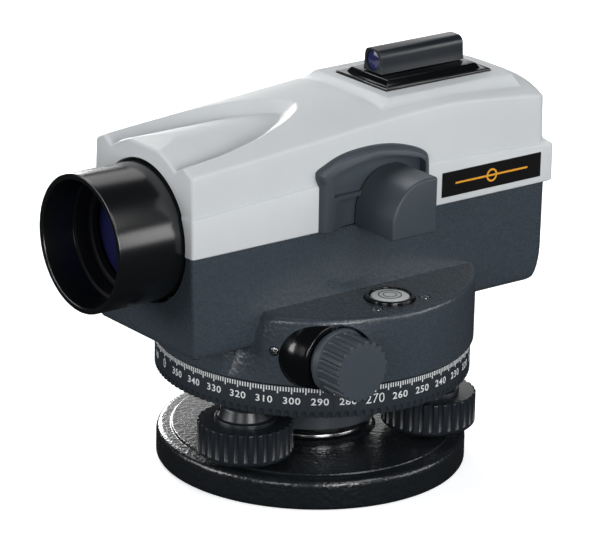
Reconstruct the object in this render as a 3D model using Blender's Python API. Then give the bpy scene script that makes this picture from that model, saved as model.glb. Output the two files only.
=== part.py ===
"""Automatic level: a surveyor's telescope that levels its own line of sight.

Lengths in this script are millimetres, and MM turns them into Blender's metres.
The origin is on the vertical axis, at the underside of the foot plate. +Z is up,
the telescope looks along -Y, and +X is the side with the circular bubble.
"""

import math

import bmesh
import bpy
from mathutils import Matrix, Vector

MM = 0.001
GAP = 0.3  # between pieces that touch

# Foot plate and levelling screws
BASE_R = 54.2
BASE_TOP = 11.4
THREAD_R = 7.94  # 5/8 inch tripod thread
FOOT_RING_R = 41.0
FOOT_ANGLES = (-71.0, 49.0, 169.0)
FOOT_KNOB_R = 16.5
FOOT_KNOB_LOW = 13.3
FOOT_KNOB_TOP = 25.3
FOOT_FLUTES = 30
SLEEVE_TOP = 31.2
STEM_R = 3.6
TILT_CENTRE_Z = 14.0

# Levelling head, spindle and horizontal circle
HUB_R = 23.4
HEAD_R = 48.6
HEAD_LOW = 33.2
HEAD_TOP = 37.0
SPINDLE_R = 9.0
CIRCLE_R = 55.0
CIRCLE_LOW = 34.1
CIRCLE_TOP = 45.0

# Slow motion drive: a worm on a cross shaft and a 72 tooth wheel
WHEEL_TEETH = 72
WHEEL_PITCH_R = 23.0
WORM_PITCH_R = 5.0
DRIVE_Y = -(WHEEL_PITCH_R + WORM_PITCH_R)
DRIVE_Z = 55.5
DRIVE_END = 63.0
DRIVE_KNOB_R = 10.6

# Housing
DRUM_R = 56.0
DRUM_LOW = 45.6
DRUM_TOP = 69.4
DRUM_WALL = 3.0
HALF_WIDTH = 28.2
BODY_FRONT = -73.0
BODY_REAR = 82.0
BODY_LOW = 57.2
SEAM_Z = 93.0
WALL = 2.6
FLOOR_Z = 61.0
SET_SCREW_TURN = math.radians(-51.3)

# Telescope
AXIS_Z = 95.8
TUBE_R = 23.7
TUBE_BORE = 20.1
TUBE_FRONT = -98.5
TUBE_REAR = -18.0
EYE_END = 95.0
FOCUS_Y = -12.0
FOCUS_Z = 86.0
PINION_TEETH = 10
PINION_PITCH_R = 3.5
EYE_HOLE_R = 15.5

# Bubble, hood and sight
VIAL_X = 41.0
VIAL_Y = 0.7
VIAL_R = 9.2
VIAL_TOP = 70.9
HOOD_FRONT = -5.3
HOOD_REAR = 13.6
HOOD_LOW = 92.6
HOOD_TOP = 112.4
HOOD_END = 49.0
PLATFORM_Z = 132.5
SIGHT_FRONT = 23.4
SIGHT_REAR = 60.0
SIGHT_Z = 139.3

TURN_TO = {"Z": (0, 0, 0), "X": (0, math.pi / 2, 0), "Y": (-math.pi / 2, 0, 0)}


# ---------------------------------------------------------------- helpers


def finish_named(name, colour, roughness, metallic=0.0, alpha=1.0):
    """A Principled material, made once and shared."""
    found = bpy.data.materials.get(name)
    if found:
        return found
    made = bpy.data.materials.new(name)
    made.use_nodes = True
    shader = made.node_tree.nodes["Principled BSDF"]
    shader.inputs["Base Color"].default_value = (*colour, 1.0)
    shader.inputs["Roughness"].default_value = roughness
    shader.inputs["Metallic"].default_value = metallic
    shader.inputs["Alpha"].default_value = alpha
    return made


def new_object(name, mesh_data, finish, at=(0, 0, 0), along="Z", sharp_degrees=32):
    """Turn a bmesh into a named, placed and shaded object."""
    bmesh.ops.recalc_face_normals(mesh_data, faces=mesh_data.faces)
    mesh = bpy.data.meshes.new(name)
    mesh_data.to_mesh(mesh)
    mesh_data.free()
    mesh.shade_smooth()
    mesh.set_sharp_from_angle(angle=math.radians(sharp_degrees))
    made = bpy.data.objects.new(name, mesh)
    bpy.context.scene.collection.objects.link(made)
    made.location = Vector(at) * MM
    made.rotation_euler = TURN_TO[along]
    if finish:
        mesh.materials.append(finish)
    return made


def turned(name, outline, finish, at=(0, 0, 0), along="Z", steps=32):
    """Spin an outline of (radius, height) points about its own axis.

    An outline whose ends are on the axis makes a solid. Any other is closed to a ring.
    """
    shape = bmesh.new()
    points = [shape.verts.new((r * MM, 0, h * MM)) for r, h in outline]
    on_axis = outline[0][0] == 0 and outline[-1][0] == 0
    pairs = list(zip(points, points[1:]))
    if not on_axis:
        pairs.append((points[-1], points[0]))
    edges = [shape.edges.new(pair) for pair in pairs]
    bmesh.ops.spin(
        shape,
        geom=points + edges,
        axis=(0, 0, 1),
        cent=(0, 0, 0),
        angle=math.tau,
        steps=steps,
    )
    bmesh.ops.remove_doubles(shape, verts=shape.verts, dist=1e-6)
    return new_object(name, shape, finish, at, along)


def disc(name, radius, low, high, finish, at=(0, 0, 0), along="Z", steps=32):
    outline = [(0, low), (radius, low), (radius, high), (0, high)]
    return turned(name, outline, finish, at, along, steps)


def ring(name, bore, radius, low, high, finish, at=(0, 0, 0), along="Z", steps=32):
    outline = [(bore, low), (radius, low), (radius, high), (bore, high)]
    return turned(name, outline, finish, at, along, steps)


def block(name, low, high, finish):
    """A box between two corners, with its origin at its centre."""
    shape = bmesh.new()
    bmesh.ops.create_cube(shape, size=1.0)
    size = [(b - a) * MM for a, b in zip(low, high)]
    bmesh.ops.scale(shape, vec=size, verts=shape.verts)
    middle = [(a + b) / 2 for a, b in zip(low, high)]
    return new_object(name, shape, finish, middle)


def prism(name, outline, low, high, finish, across="X"):
    """Extrude a flat outline. Across X it holds (y, z) points, across Z (x, y) points."""
    shape = bmesh.new()

    def spot(a, b, depth):
        return (depth * MM, a * MM, b * MM) if across == "X" else (a * MM, b * MM, depth * MM)

    face = shape.faces.new([shape.verts.new(spot(a, b, low)) for a, b in outline])
    pushed = bmesh.ops.extrude_face_region(shape, geom=[face])
    moved = [item for item in pushed["geom"] if isinstance(item, bmesh.types.BMVert)]
    step = (high - low) * MM
    shift = (step, 0, 0) if across == "X" else (0, 0, step)
    bmesh.ops.translate(shape, vec=shift, verts=moved)
    return new_object(name, shape, finish)


def fluted(name, layers, flutes, depth, finish, at, along="Z", inner=()):
    """Stack rings of (height, radius, fluted or not), whose ridges and hollows alternate.

    The inner (height, radius) points, from the top down, make it a ring.
    """
    shape = bmesh.new()
    count = flutes * 2
    levels = list(layers) + [(height, radius, False) for height, radius in inner]
    rows = []
    for height, radius, has_flutes in levels:
        row = []
        for index in range(count):
            angle = math.tau * index / count
            reach = radius - depth if has_flutes and index % 2 else radius
            place = (reach * math.cos(angle) * MM, reach * math.sin(angle) * MM, height * MM)
            row.append(shape.verts.new(place))
        rows.append(row)
    if inner:
        rows.append(rows[0])
    for below, above in zip(rows, rows[1:]):
        for index in range(count):
            after = (index + 1) % count
            shape.faces.new((below[index], below[after], above[after], above[index]))
    if not inner:
        shape.faces.new(rows[0])
        shape.faces.new(rows[-1])
    return new_object(name, shape, finish, at, along)


def arc(centre, radius, start, end, steps):
    """Points on an arc in degrees, ends included."""
    points = []
    for index in range(steps + 1):
        angle = math.radians(start + (end - start) * index / steps)
        points.append((centre[0] + radius * math.cos(angle), centre[1] + radius * math.sin(angle)))
    return points


def combine(target, other, operation):
    """Add a Boolean whose second shape is kept out of the model."""
    step = target.modifiers.new(other.name, "BOOLEAN")
    step.object = other
    step.operation = operation
    step.solver = "EXACT"
    other.hide_render = True
    other.display_type = "WIRE"


def cut(target, other):
    combine(target, other, "DIFFERENCE")


def join(target, other):
    combine(target, other, "UNION")


def pivot(name, at):
    """An empty on a joint's axis."""
    made = bpy.data.objects.new(name, None)
    made.location = Vector(at) * MM
    made.empty_display_size = 0.02
    bpy.context.scene.collection.objects.link(made)
    return made


def hang(parent, *children):
    """Parent objects to an empty without moving them."""
    for child in children:
        child.parent = parent
        child.matrix_parent_inverse = Matrix.Translation(parent.location).inverted()


# ---------------------------------------------------------------- finishes


def finishes():
    return {
        "cover": finish_named("white_moulded_cover", (0.63, 0.66, 0.68), 0.45),
        "paint": finish_named("hammered_dark_paint", (0.045, 0.058, 0.07), 0.38),
        "base": finish_named("hammered_black_paint", (0.02, 0.023, 0.027), 0.35),
        "tube": finish_named("black_anodised_tube", (0.03, 0.034, 0.038), 0.4, 0.3),
        "moulded": finish_named("dark_moulded_plastic", (0.035, 0.042, 0.05), 0.5),
        "black": finish_named("gloss_black_plastic", (0.012, 0.013, 0.016), 0.25),
        "circle": finish_named("engraved_circle", (0.02, 0.023, 0.026), 0.42),
        "steel": finish_named("bright_steel", (0.6, 0.6, 0.6), 0.28, 1.0),
        "brass": finish_named("turned_brass", (0.62, 0.46, 0.2), 0.32, 1.0),
        "glass": finish_named("coated_glass", (0.1, 0.1, 0.3), 0.05, 0.0, 0.4),
        "vial": finish_named("white_vial", (0.85, 0.88, 0.85), 0.2),
        "label": finish_named("printed_label", (0.012, 0.012, 0.012), 0.3),
        "cast": finish_named("cast_aluminium", (0.35, 0.36, 0.37), 0.45, 1.0),
        "rubber": finish_named("soft_rubber", (0.02, 0.02, 0.02), 0.7),
    }


# ---------------------------------------------------------------- foot plate


def foot_centre(angle):
    turn = math.radians(angle)
    return (FOOT_RING_R * math.cos(turn), FOOT_RING_R * math.sin(turn), 0)


def make_base(look):
    outline = [
        (THREAD_R, 0),
        (BASE_R - 0.6, 0),
        (BASE_R, 0.8),
        (BASE_R, 6.4),
        (52.6, 9.8),
        (49.4, 10.6),
        (48.8, BASE_TOP),
        (22.5, BASE_TOP),
        (21.5, 12.2),
        (THREAD_R, 12.2),
    ]
    plate = turned("base_plate", outline, look["base"], steps=44)
    for number, angle in enumerate(FOOT_ANGLES, 1):
        seat = disc(f"foot_seat_{number}", 4.9, 8.2, 20, None, foot_centre(angle), steps=16)
        cut(plate, seat)


def make_foot_screw(look, number, angle):
    """A fluted knob on a threaded stem whose ball end stands in the foot plate."""
    centre = foot_centre(angle)
    bore = STEM_R + GAP
    layers = [
        (FOOT_KNOB_LOW, FOOT_KNOB_R - 0.8, False),
        (FOOT_KNOB_LOW + 1.0, FOOT_KNOB_R, True),
        (FOOT_KNOB_TOP, FOOT_KNOB_R, True),
    ]
    inner = [(FOOT_KNOB_TOP, bore), (FOOT_KNOB_LOW, bore)]
    name = f"foot_knob_{number}"
    fluted(name, layers, FOOT_FLUTES, 0.7, look["moulded"], centre, inner=inner)
    ball_r = 4.0
    ball_z = 8.5 + ball_r
    ball = [(r, ball_z + h) for r, h in arc((0, 0), ball_r, -90, 0, 4)]
    stem = [(0, ball[0][1])] + ball[1:] + [(STEM_R, FOOT_KNOB_LOW - 0.2), (STEM_R, 36.4), (0, 36.4)]
    turned(f"foot_stem_{number}", stem, look["brass"], centre, steps=16)
    sleeve = [
        (bore, FOOT_KNOB_TOP + GAP),
        (10.7, FOOT_KNOB_TOP + GAP),
        (10.7, FOOT_KNOB_TOP + 1.3),
        (9.2, FOOT_KNOB_TOP + 1.3),
        (8.1, SLEEVE_TOP - 1.2),
        (8.1, SLEEVE_TOP),
        (bore, SLEEVE_TOP),
    ]
    turned(f"foot_sleeve_{number}", sleeve, look["moulded"], centre, steps=24)


def make_spring_plate(look):
    return ring("spring_plate", 9.4, 21.0, 13.2, 14.4, look["steel"])


# ---------------------------------------------------------------- head and circle


def make_head(look):
    shank_r = 10.0
    outline = [
        (shank_r + GAP, 20.0),
        (19.0, 20.0),
        (19.0, 17.0),
        (HUB_R, 17.0),
        (HUB_R, HEAD_LOW),
        (HEAD_R, HEAD_LOW),
        (HEAD_R, HEAD_TOP),
        (shank_r + GAP, HEAD_TOP),
    ]
    head = turned("levelling_head", outline, look["cast"], steps=36)
    for number, angle in enumerate(FOOT_ANGLES, 1):
        hole = disc(f"stem_hole_{number}", 5.2, 30, 40, None, foot_centre(angle), steps=16)
        cut(head, hole)
    spindle = turned(
        "spindle",
        [
            (0, 20.0),
            (shank_r, 20.0),
            (shank_r, HEAD_TOP + GAP),
            (14.0, HEAD_TOP + GAP),
            (14.0, 50.2),
            (SPINDLE_R, 50.2),
            (SPINDLE_R, 70.2),
            (0, 70.2),
        ],
        look["steel"],
        steps=32,
    )
    nut = disc("spindle_nut", 10.6, 70.5, 71.6, look["brass"], steps=6)
    return [head, spindle, nut]


def make_circle(look):
    """The graduated ring turns by hand on the levelling head."""
    outline = [
        (14.4, 38.2),
        (50.2, 38.2),
        (50.6, CIRCLE_LOW),
        (CIRCLE_R, CIRCLE_LOW),
        (CIRCLE_R, CIRCLE_TOP - 0.3),
        (54.7, CIRCLE_TOP),
        (51.4, CIRCLE_TOP),
        (50.6, 41.0),
        (14.4, 41.0),
    ]
    return turned("horizontal_circle", outline, look["circle"], steps=48)


def make_worm_wheel(look):
    """Straight teeth, narrow enough to clear the lead of the worm."""
    tip = WHEEL_PITCH_R + 0.5
    root = WHEEL_PITCH_R - 0.8
    low = DRIVE_Z - 1.7
    high = DRIVE_Z + 1.7
    pitch = math.tau / WHEEL_TEETH
    shape = bmesh.new()
    rows = []
    for height in (low, high):
        row = []
        for tooth in range(WHEEL_TEETH):
            for share, reach in ((-0.30, root), (-0.13, tip), (0.13, tip), (0.30, root)):
                angle = -math.pi / 2 + pitch * (tooth + share)
                place = (reach * math.cos(angle) * MM, reach * math.sin(angle) * MM, height * MM)
                row.append(shape.verts.new(place))
        rows.append(row)
    bottom, top = rows
    count = len(bottom)
    for index in range(count):
        after = (index + 1) % count
        shape.faces.new((bottom[index], bottom[after], top[after], top[index]))
    shape.faces.new(bottom)
    shape.faces.new(top)
    wheel = new_object("worm_wheel", shape, look["brass"])
    cut(wheel, disc("wheel_bore", SPINDLE_R + 0.4, low - 5, high + 5, None, steps=32))
    return wheel


# ---------------------------------------------------------------- slow motion drive


def make_worm(look):
    """A right-handed single start thread around the cross shaft."""
    pitch = math.tau * WHEEL_PITCH_R / WHEEL_TEETH
    root = WORM_PITCH_R - 0.9
    crest = WORM_PITCH_R + 0.4
    around = 12
    turns = 3
    at = (0, DRIVE_Y, DRIVE_Z)
    sleeve = ring("drive_worm", 2.5 + GAP, root, -6.0, 6.0, look["brass"], at, "X", 16)
    thread = bmesh.new()
    rows = []
    # The wheel has a tooth at -90 degrees, so on the wheel's side a hollow lies at X = 0.
    for index in range(around * turns + 1):
        angle = math.tau * index / around
        centre = pitch * (index / around - turns / 2)
        row = []
        for share, reach in ((-0.33, root - 0.4), (-0.12, crest), (0.12, crest), (0.33, root - 0.4)):
            x = centre + pitch * share
            y = reach * math.cos(angle)
            z = reach * math.sin(angle)
            row.append(thread.verts.new((x * MM, y * MM, z * MM)))
        rows.append(row)
    for before, after in zip(rows, rows[1:]):
        for index in range(4):
            beside = (index + 1) % 4
            thread.faces.new((before[index], before[beside], after[beside], after[index]))
    thread.faces.new(rows[0])
    thread.faces.new(rows[-1])
    helix = new_object("worm_thread", thread, None, at)
    join(sleeve, helix)
    return sleeve


def make_drive(look):
    at = (0, DRIVE_Y, DRIVE_Z)
    shaft = disc("drive_shaft", 2.5, -60, 60, look["steel"], at, "X", 16)
    worm = make_worm(look)
    layers = [
        (48.0, 10.2, False),
        (49.6, 10.4, False),
        (50.0, 11.5, False),
        (50.9, DRIVE_KNOB_R, True),
        (60.8, DRIVE_KNOB_R, True),
        (61.6, DRIVE_KNOB_R, False),
        (DRIVE_END, DRIVE_KNOB_R - 0.5, False),
    ]
    flutes = 20
    depth = 0.8
    socket_depth = 60 + GAP
    pieces = [shaft, worm]
    for name, side in (("drive_knob_left", 1), ("drive_knob_right", -1)):
        knob = fluted(name, layers, flutes, depth, look["moulded"], at, "X")
        if side < 0:
            knob.rotation_euler = (0, -math.pi / 2, 0)
        low, high = sorted((side * 40, side * socket_depth))
        socket = disc(f"{name}_socket", 2.5 + GAP, low, high, None, at, "X", 16)
        cut(knob, socket)
        pieces.append(knob)
    return pieces


# ---------------------------------------------------------------- housing


def make_housing(look):
    """One casting: a long trough for the telescope on a round drum for the drive."""
    slope = 2.0
    trough = [
        (BODY_FRONT, SEAM_Z),
        (BODY_FRONT + slope, BODY_LOW + 1.0),
        (BODY_FRONT + slope + 1.0, BODY_LOW),
        (BODY_REAR - slope - 5.0, BODY_LOW),
        (BODY_REAR - slope, BODY_LOW + 6.0),
        (BODY_REAR, SEAM_Z),
    ]
    housing = prism("lower_housing", trough, -HALF_WIDTH, HALF_WIDTH, look["paint"])
    drum = turned(
        "drum",
        [
            (0, DRUM_LOW),
            (DRUM_R - 0.4, DRUM_LOW),
            (DRUM_R, DRUM_LOW + 0.4),
            (DRUM_R, DRUM_TOP - 1.6),
            (DRUM_R - 1.6, DRUM_TOP),
            (0, DRUM_TOP),
        ],
        None,
        steps=48,
    )
    join(housing, drum)
    at = (0, DRIVE_Y, DRIVE_Z)
    boss_end = 47.6
    for name, side in (("left", 1), ("right", -1)):
        ends = [(0, 30), (13.4, 34), (10.9, boss_end), (0, boss_end)]
        outline = [(r, side * h) for r, h in ends]
        boss = turned(f"boss_{name}", outline, None, at, "X", 32)
        cut(boss, block(f"boss_{name}_limit", (-60, -60, 30), (60, 0, DRUM_LOW + 0.4), None))
        join(housing, boss)
        low, high = sorted((side * boss_end, side * 80))
        cut(housing, disc(f"knob_pocket_{name}", 12.2, low, high, None, at, "X", 32))
    drum_room = disc("drum_room", DRUM_R - DRUM_WALL, DRUM_LOW - 5, FLOOR_Z, None, steps=40)
    cut(housing, drum_room)
    inside = HALF_WIDTH - WALL
    trough_room = block(
        "trough_room",
        (-inside, BODY_FRONT + WALL + slope, FLOOR_Z + 3.0),
        (inside, BODY_REAR - WALL - slope, SEAM_Z + 10),
        None,
    )
    cut(housing, trough_room)
    boss = ring("bearing_boss", 11.8, 14.6, FLOOR_Z + 0.5, 69.6, None, steps=32)
    join(housing, boss)
    cut(housing, disc("bearing_hole", 11.8, FLOOR_Z - 5, 71, None, steps=32))
    cut(housing, disc("tube_hole", TUBE_R + 1.2, -80, -60, None, (0, 0, AXIS_Z), "Y", 40))
    cut(housing, disc("eye_hole", EYE_HOLE_R, 70, 90, None, (0, 0, AXIS_Z), "Y", 40))
    cut(housing, disc("drive_hole", 5.8, -60, 60, None, at, "X", 20))
    focus_at = (0, FOCUS_Y, FOCUS_Z)
    cut(housing, disc("focus_hole", 2.5 + GAP, -40, -20, None, focus_at, "X", 16))
    cut(housing, disc("vial_hole", VIAL_R + GAP, 55, 80, None, (VIAL_X, VIAL_Y, 0), steps=32))
    for number, y in enumerate(vial_screw_places(), 1):
        cut(housing, disc(f"vial_screw_hole_{number}", 1.9, 60, 80, None, (47.0, y, 0), steps=16))
    set_hole = disc("set_screw_hole", 1.7, 40, 70, None, (0, 0, 57.5), "X", 16)
    set_hole.rotation_euler = (0, math.pi / 2, SET_SCREW_TURN)
    cut(housing, set_hole)
    axis_bush = ring(
        "axis_bush", SPINDLE_R + GAP, 11.8 - GAP, FLOOR_Z + 0.2, 70.0, look["brass"], steps=32
    )
    bushes = []
    for name, low, high in (("drive_bush_left", 42, 47.4), ("drive_bush_right", -47.4, -42)):
        bushes.append(ring(name, 2.5 + GAP, 5.8 - GAP, low, high, look["brass"], at, "X", 20))
    set_screw = disc("set_screw", 1.4, DRUM_R - 3.2, DRUM_R - 0.1, look["steel"], (0, 0, 57.5), "X", 16)
    set_screw.rotation_euler = (0, math.pi / 2, SET_SCREW_TURN)
    return [housing, axis_bush, set_screw, *bushes]


def vial_screw_places():
    return (VIAL_Y - 10.3, VIAL_Y + 10.3)


def cover_crest(y):
    """Height of the cover's side edge along its length: a low hump with a drooping nose and tail."""
    nose = -4.2 * max(0.0, (-y - 20) / 53) ** 2.2
    tail = -4.4 * max(0.0, (y - 44) / 38) ** 1.5
    swell = 1.1 * math.sin(math.radians(max(-90.0, min(90.0, y * 2.6))))
    return 127.6 + swell + nose + tail


def make_cover(look):
    """The white shell over the telescope, with the nose fairing and the sight's platform."""
    steps = 24
    top = []
    for index in range(steps + 1):
        y = BODY_FRONT + (BODY_REAR - BODY_FRONT) * index / steps
        top.append((y, cover_crest(y)))
    low = SEAM_Z + GAP
    outline = [(BODY_REAR, low), (BODY_FRONT, low)] + top
    cover = prism("upper_cover", outline, -HALF_WIDTH, HALF_WIDTH, look["cover"])
    crown = [(-HALF_WIDTH + 0.8, 0), (-14, 1.6), (14, 1.6), (HALF_WIDTH - 0.8, 0)]
    roof = bmesh.new()
    rows = []
    for y, z in top[1:-1]:
        row = [roof.verts.new((x * MM, y * MM, (z + rise - 0.02) * MM)) for x, rise in crown]
        row.append(roof.verts.new((20 * MM, y * MM, 120 * MM)))
        row.append(roof.verts.new((-20 * MM, y * MM, 120 * MM)))
        rows.append(row)
    for before, after in zip(rows, rows[1:]):
        for index in range(6):
            beside = (index + 1) % 6
            roof.faces.new((before[index], before[beside], after[beside], after[index]))
    roof.faces.new(rows[0])
    roof.faces.new(rows[-1])
    join(cover, new_object("crown", roof, None))
    platform = [(13.0, 127), (13.0, 131.2), (14.6, PLATFORM_Z), (68.6, PLATFORM_Z), (70, 131), (70, 124)]
    join(cover, prism("platform", platform, -20.5, 20.5, None))
    recess = arc((0, -30), 19.0, 0, 180, 12)
    recess = recess + [(-22.5, -80), (22.5, -80)]
    cut(cover, prism("nose_recess", recess, 118.5, 140, None, "Z"))
    fairing = disc("fairing", 31.1, BODY_FRONT, -8, None, (0, 0, AXIS_Z), "Y", 48)
    keep = block("fairing_keep", (-22.7, BODY_FRONT, 112), (22.7, -8.5, 140), None)
    combine(fairing, keep, "INTERSECT")
    join(cover, fairing)
    inside = HALF_WIDTH - WALL
    room = block("cover_room", (-inside, -70.4, 80), (inside, 79.2, 115.5), None)
    cut(cover, room)
    cut(cover, disc("tube_room", TUBE_R + 1.6, -70.4, -5, None, (0, 0, AXIS_Z), "Y", 40))
    upper_room = block("upper_room", (-inside, -6, 110), (inside, 79.2, 122.5), None)
    cut(cover, upper_room)
    cut(cover, disc("cover_tube_hole", TUBE_R + 1.2, -80, -60, None, (0, 0, AXIS_Z), "Y", 40))
    cut(cover, disc("cover_eye_hole", EYE_HOLE_R, 70, 90, None, (0, 0, AXIS_Z), "Y", 40))
    cut(cover, block("sight_recess", (-14.3, 18.2, 131.6), (14.3, 65.3, 140), None))
    return cover


# ---------------------------------------------------------------- telescope


def make_objective(look):
    """The barrel, which is open at both ends, and its cemented pair of lenses."""
    at = (0, 0, AXIS_Z)
    step_y = -86.4
    mouth = TUBE_FRONT + 0.5
    outline = [
        (21.5, TUBE_FRONT),
        (TUBE_R - 0.3, TUBE_FRONT),
        (TUBE_R, mouth),
        (TUBE_R, TUBE_REAR),
        (TUBE_BORE, TUBE_REAR),
        (TUBE_BORE, step_y),
        (21.5, step_y),
    ]
    tube = turned("objective_tube", outline, look["tube"], at, "Y", 40)
    holder = ring("retaining_ring", 17.6, TUBE_BORE - GAP, -81.5, -79.0, look["black"], at, "Y", 32)
    rim = TUBE_BORE - GAP
    crown = [(0, -79.8)] + [(16.5, -78.2), (rim, -77.2), (rim, -75.0), (0, -73.2)]
    crown_glass = turned("objective_crown", crown, look["glass"], at, "Y", 32)
    flint = [(0, -72.8), (rim, -74.6), (rim, -71.2), (0, -71.6)]
    flint_glass = turned("objective_flint", flint, look["glass"], at, "Y", 32)
    return [tube, holder, crown_glass, flint_glass]


def make_focusing(look):
    """A lens cell slides in the barrel, pulled by a rack and pinion from the side knob."""
    at = (0, 0, AXIS_Z)
    rim = TUBE_BORE - GAP
    cell = ring("focus_cell", 14.0, rim, -50, -36, look["black"], at, "Y", 32)
    lens = turned(
        "focus_lens",
        [(0, -44.2), (13.7, -45.4), (13.7, -41.2), (0, -42.4)],
        look["glass"],
        at,
        "Y",
        32,
    )
    pitch = math.tau * PINION_PITCH_R / PINION_TEETH
    rack_z = FOCUS_Z + PINION_PITCH_R
    first = -23.5
    teeth = 9
    outline = [(-37.0, rack_z + 3.0), (-37.0, rack_z + 0.9), (first - pitch, rack_z + 0.9)]
    # A tooth of the rack points down between two teeth of the pinion.
    start = FOCUS_Y - pitch * 5
    for number in range(teeth):
        middle = start + pitch * number
        outline += [
            (middle - pitch * 0.36, rack_z + 0.9),
            (middle - pitch * 0.13, rack_z - 0.5),
            (middle + pitch * 0.13, rack_z - 0.5),
            (middle + pitch * 0.36, rack_z + 0.9),
        ]
    end = start + pitch * (teeth - 1) + pitch * 0.6
    outline += [(end, rack_z + 0.9), (end, rack_z + 3.0)]
    rack = prism("rack_bar", outline, -17.6, -13.8, None)
    join(cell, rack)
    pinion = make_pinion(look)
    layers = [
        (-31.4, 12.6, False),
        (-33.4, 13.4, False),
        (-34.4, 13.4, True),
        (-46.4, 12.9, True),
        (-47.4, 12.9, False),
        (-48.6, 12.0, False),
    ]
    focus_at = (0, FOCUS_Y, FOCUS_Z)
    knob = fluted("focus_knob", layers, 24, 0.8, look["moulded"], focus_at, "X")
    cut(knob, disc("focus_knob_socket", 2.5 + GAP, -45.3, -30, None, focus_at, "X", 24))
    return cell, lens, pinion, knob


def make_pinion(look):
    """Shaft and pinion turned and cut from one bar."""
    tip = PINION_PITCH_R + 0.6
    root = PINION_PITCH_R - 1.0
    shaft_r = 2.5
    profile = [
        (-45.0, shaft_r, shaft_r),
        (-18.0, shaft_r, shaft_r),
        (-18.0, root, tip),
        (-13.4, root, tip),
    ]
    shape = bmesh.new()
    rows = []
    shares = ((-0.30, False), (-0.12, True), (0.12, True), (0.30, False))
    for x, low_r, high_r in profile:
        row = []
        for tooth in range(PINION_TEETH):
            for share, at_tip in shares:
                # A hollow points straight up, to the rack.
                angle = math.tau / PINION_TEETH * (tooth + 0.5 + share) + math.pi / 2
                reach = high_r if at_tip else low_r
                place = (x * MM, reach * math.cos(angle) * MM, reach * math.sin(angle) * MM)
                row.append(shape.verts.new(place))
        rows.append(row)
    count = PINION_TEETH * 4
    for below, above in zip(rows, rows[1:]):
        for index in range(count):
            after = (index + 1) % count
            shape.faces.new((below[index], below[after], above[after], above[index]))
    shape.faces.new(rows[0])
    shape.faces.new(rows[-1])
    return new_object("focus_pinion", shape, look["steel"], (0, FOCUS_Y, FOCUS_Z))


def make_compensator(look):
    """A hanging prism between two fixed ones keeps the sight line level."""
    frame = prism(
        "compensator_frame",
        [(15.2, 64.4), (47, 64.4), (47, 67.2), (43, 67.2), (43, 115), (15.2, 115)],
        -21.5,
        21.5,
        look["cast"],
    )
    cut(frame, block("frame_room", (-18.5, 0, 67.6), (18.5, 60, 111.5), None))
    cut(frame, block("frame_window", (-30, 20, 74), (30, 38, 107), None))
    fixed = prism("fixed_prism", [(16, 88), (23, 88), (16, 103)], -8, 8, look["glass"])
    roof = prism("roof_prism", [(42, 88), (42, 103), (35, 88)], -8, 8, look["glass"])
    shelf = block("prism_shelf", (-18.6, 15.2, 84.2), (18.6, 24, 87.6), None)
    rear_shelf = block("rear_shelf", (-18.6, 34, 84.2), (18.6, 42.8, 87.6), None)
    join(frame, shelf)
    join(frame, rear_shelf)
    magnet = ring("damping_magnet", 4.0, 7.5, 67.9, 74.5, look["steel"], (0, 29, 0), steps=20)
    pendulum = prism(
        "pendulum",
        [(27.6, 110.4), (27.6, 78.0), (30.4, 78.0), (30.4, 110.4)],
        -12.0,
        12.0,
        look["cast"],
    )
    cut(pendulum, block("light_window", (-8.6, 20, 87), (8.6, 40, 104.6), None))
    join(pendulum, disc("damping_post", 2.6, 76, 79, None, (0, 29, 0), steps=20))
    hanging = prism(
        "pendulum_prism", [(25.2, 88.4), (32.8, 88.4), (29.0, 103.6)], -8.3, 8.3, look["glass"]
    )
    return [frame, fixed, roof, magnet], [pendulum, hanging]


def make_eyepiece(look):
    at = (0, 0, AXIS_Z)
    cell = ring("reticle_cell", 8.8, 14.6, 55, 60, look["black"], at, "Y", 32)
    graticule = disc("reticle_glass", 8.5, 56.6, 58.4, look["glass"], at, "Y", 32)
    holder = turned(
        "eyepiece_holder",
        [(12.4, 64), (15.1, 64), (15.1, 83.4), (21.0, 83.4), (21.0, 86.4), (20.2, 87.0), (12.4, 87.0)],
        look["tube"],
        at,
        "Y",
    )
    layers = [
        (87.3, 12.5, False),
        (87.8, 12.9, True),
        (91.0, 12.9, True),
        (91.6, 12.4, False),
    ]
    inner = [(91.6, 10.6), (70, 10.6), (70, 12.1), (87.3, 12.1)]
    ring_piece = fluted("dioptre_ring", layers, 24, 0.5, look["moulded"], at, "Y", inner)
    eyecup = turned(
        "eyecup",
        [(8.2, 91.9), (11.4, 91.9), (9.6, EYE_END), (8.8, EYE_END), (8.2, 93.6)],
        look["rubber"],
        at,
        "Y",
        32,
    )
    eye_cell = ring("eye_cell", 8.3, 10.3, 74, 90, look["brass"], at, "Y", 40)
    eye_lens = turned(
        "eye_lens",
        [(0, 84.6), (8.0, 85.6), (8.0, 88.4), (0, 89.4)],
        look["glass"],
        at,
        "Y",
        32,
    )
    return [cell, graticule, holder], [ring_piece, eyecup], [eye_cell, eye_lens]


# ---------------------------------------------------------------- bubble, hood, sight


def make_bubble(look):
    at = (VIAL_X, VIAL_Y, 0)
    housing = turned(
        "vial_housing",
        [
            (0, 60.0),
            (VIAL_R, 60.0),
            (VIAL_R, VIAL_TOP - 0.5),
            (VIAL_R - 0.5, VIAL_TOP),
            (7.4, VIAL_TOP),
            (7.4, 64.0),
            (0, 64.0),
        ],
        look["black"],
        at,
        steps=32,
    )
    glass = turned(
        "bubble_vial",
        [(0, 64.3), (7.1, 64.3), (7.1, VIAL_TOP - 0.5), (5.0, VIAL_TOP - 0.2), (0, VIAL_TOP)],
        look["vial"],
        at,
        steps=32,
    )
    pieces = [housing, glass]
    for name, y in zip(("vial_screw_front", "vial_screw_rear"), vial_screw_places()):
        pieces.append(disc(name, 1.6, 62, DRUM_TOP - 0.2, look["steel"], (47.0, y, 0), steps=16))
    return pieces


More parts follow.
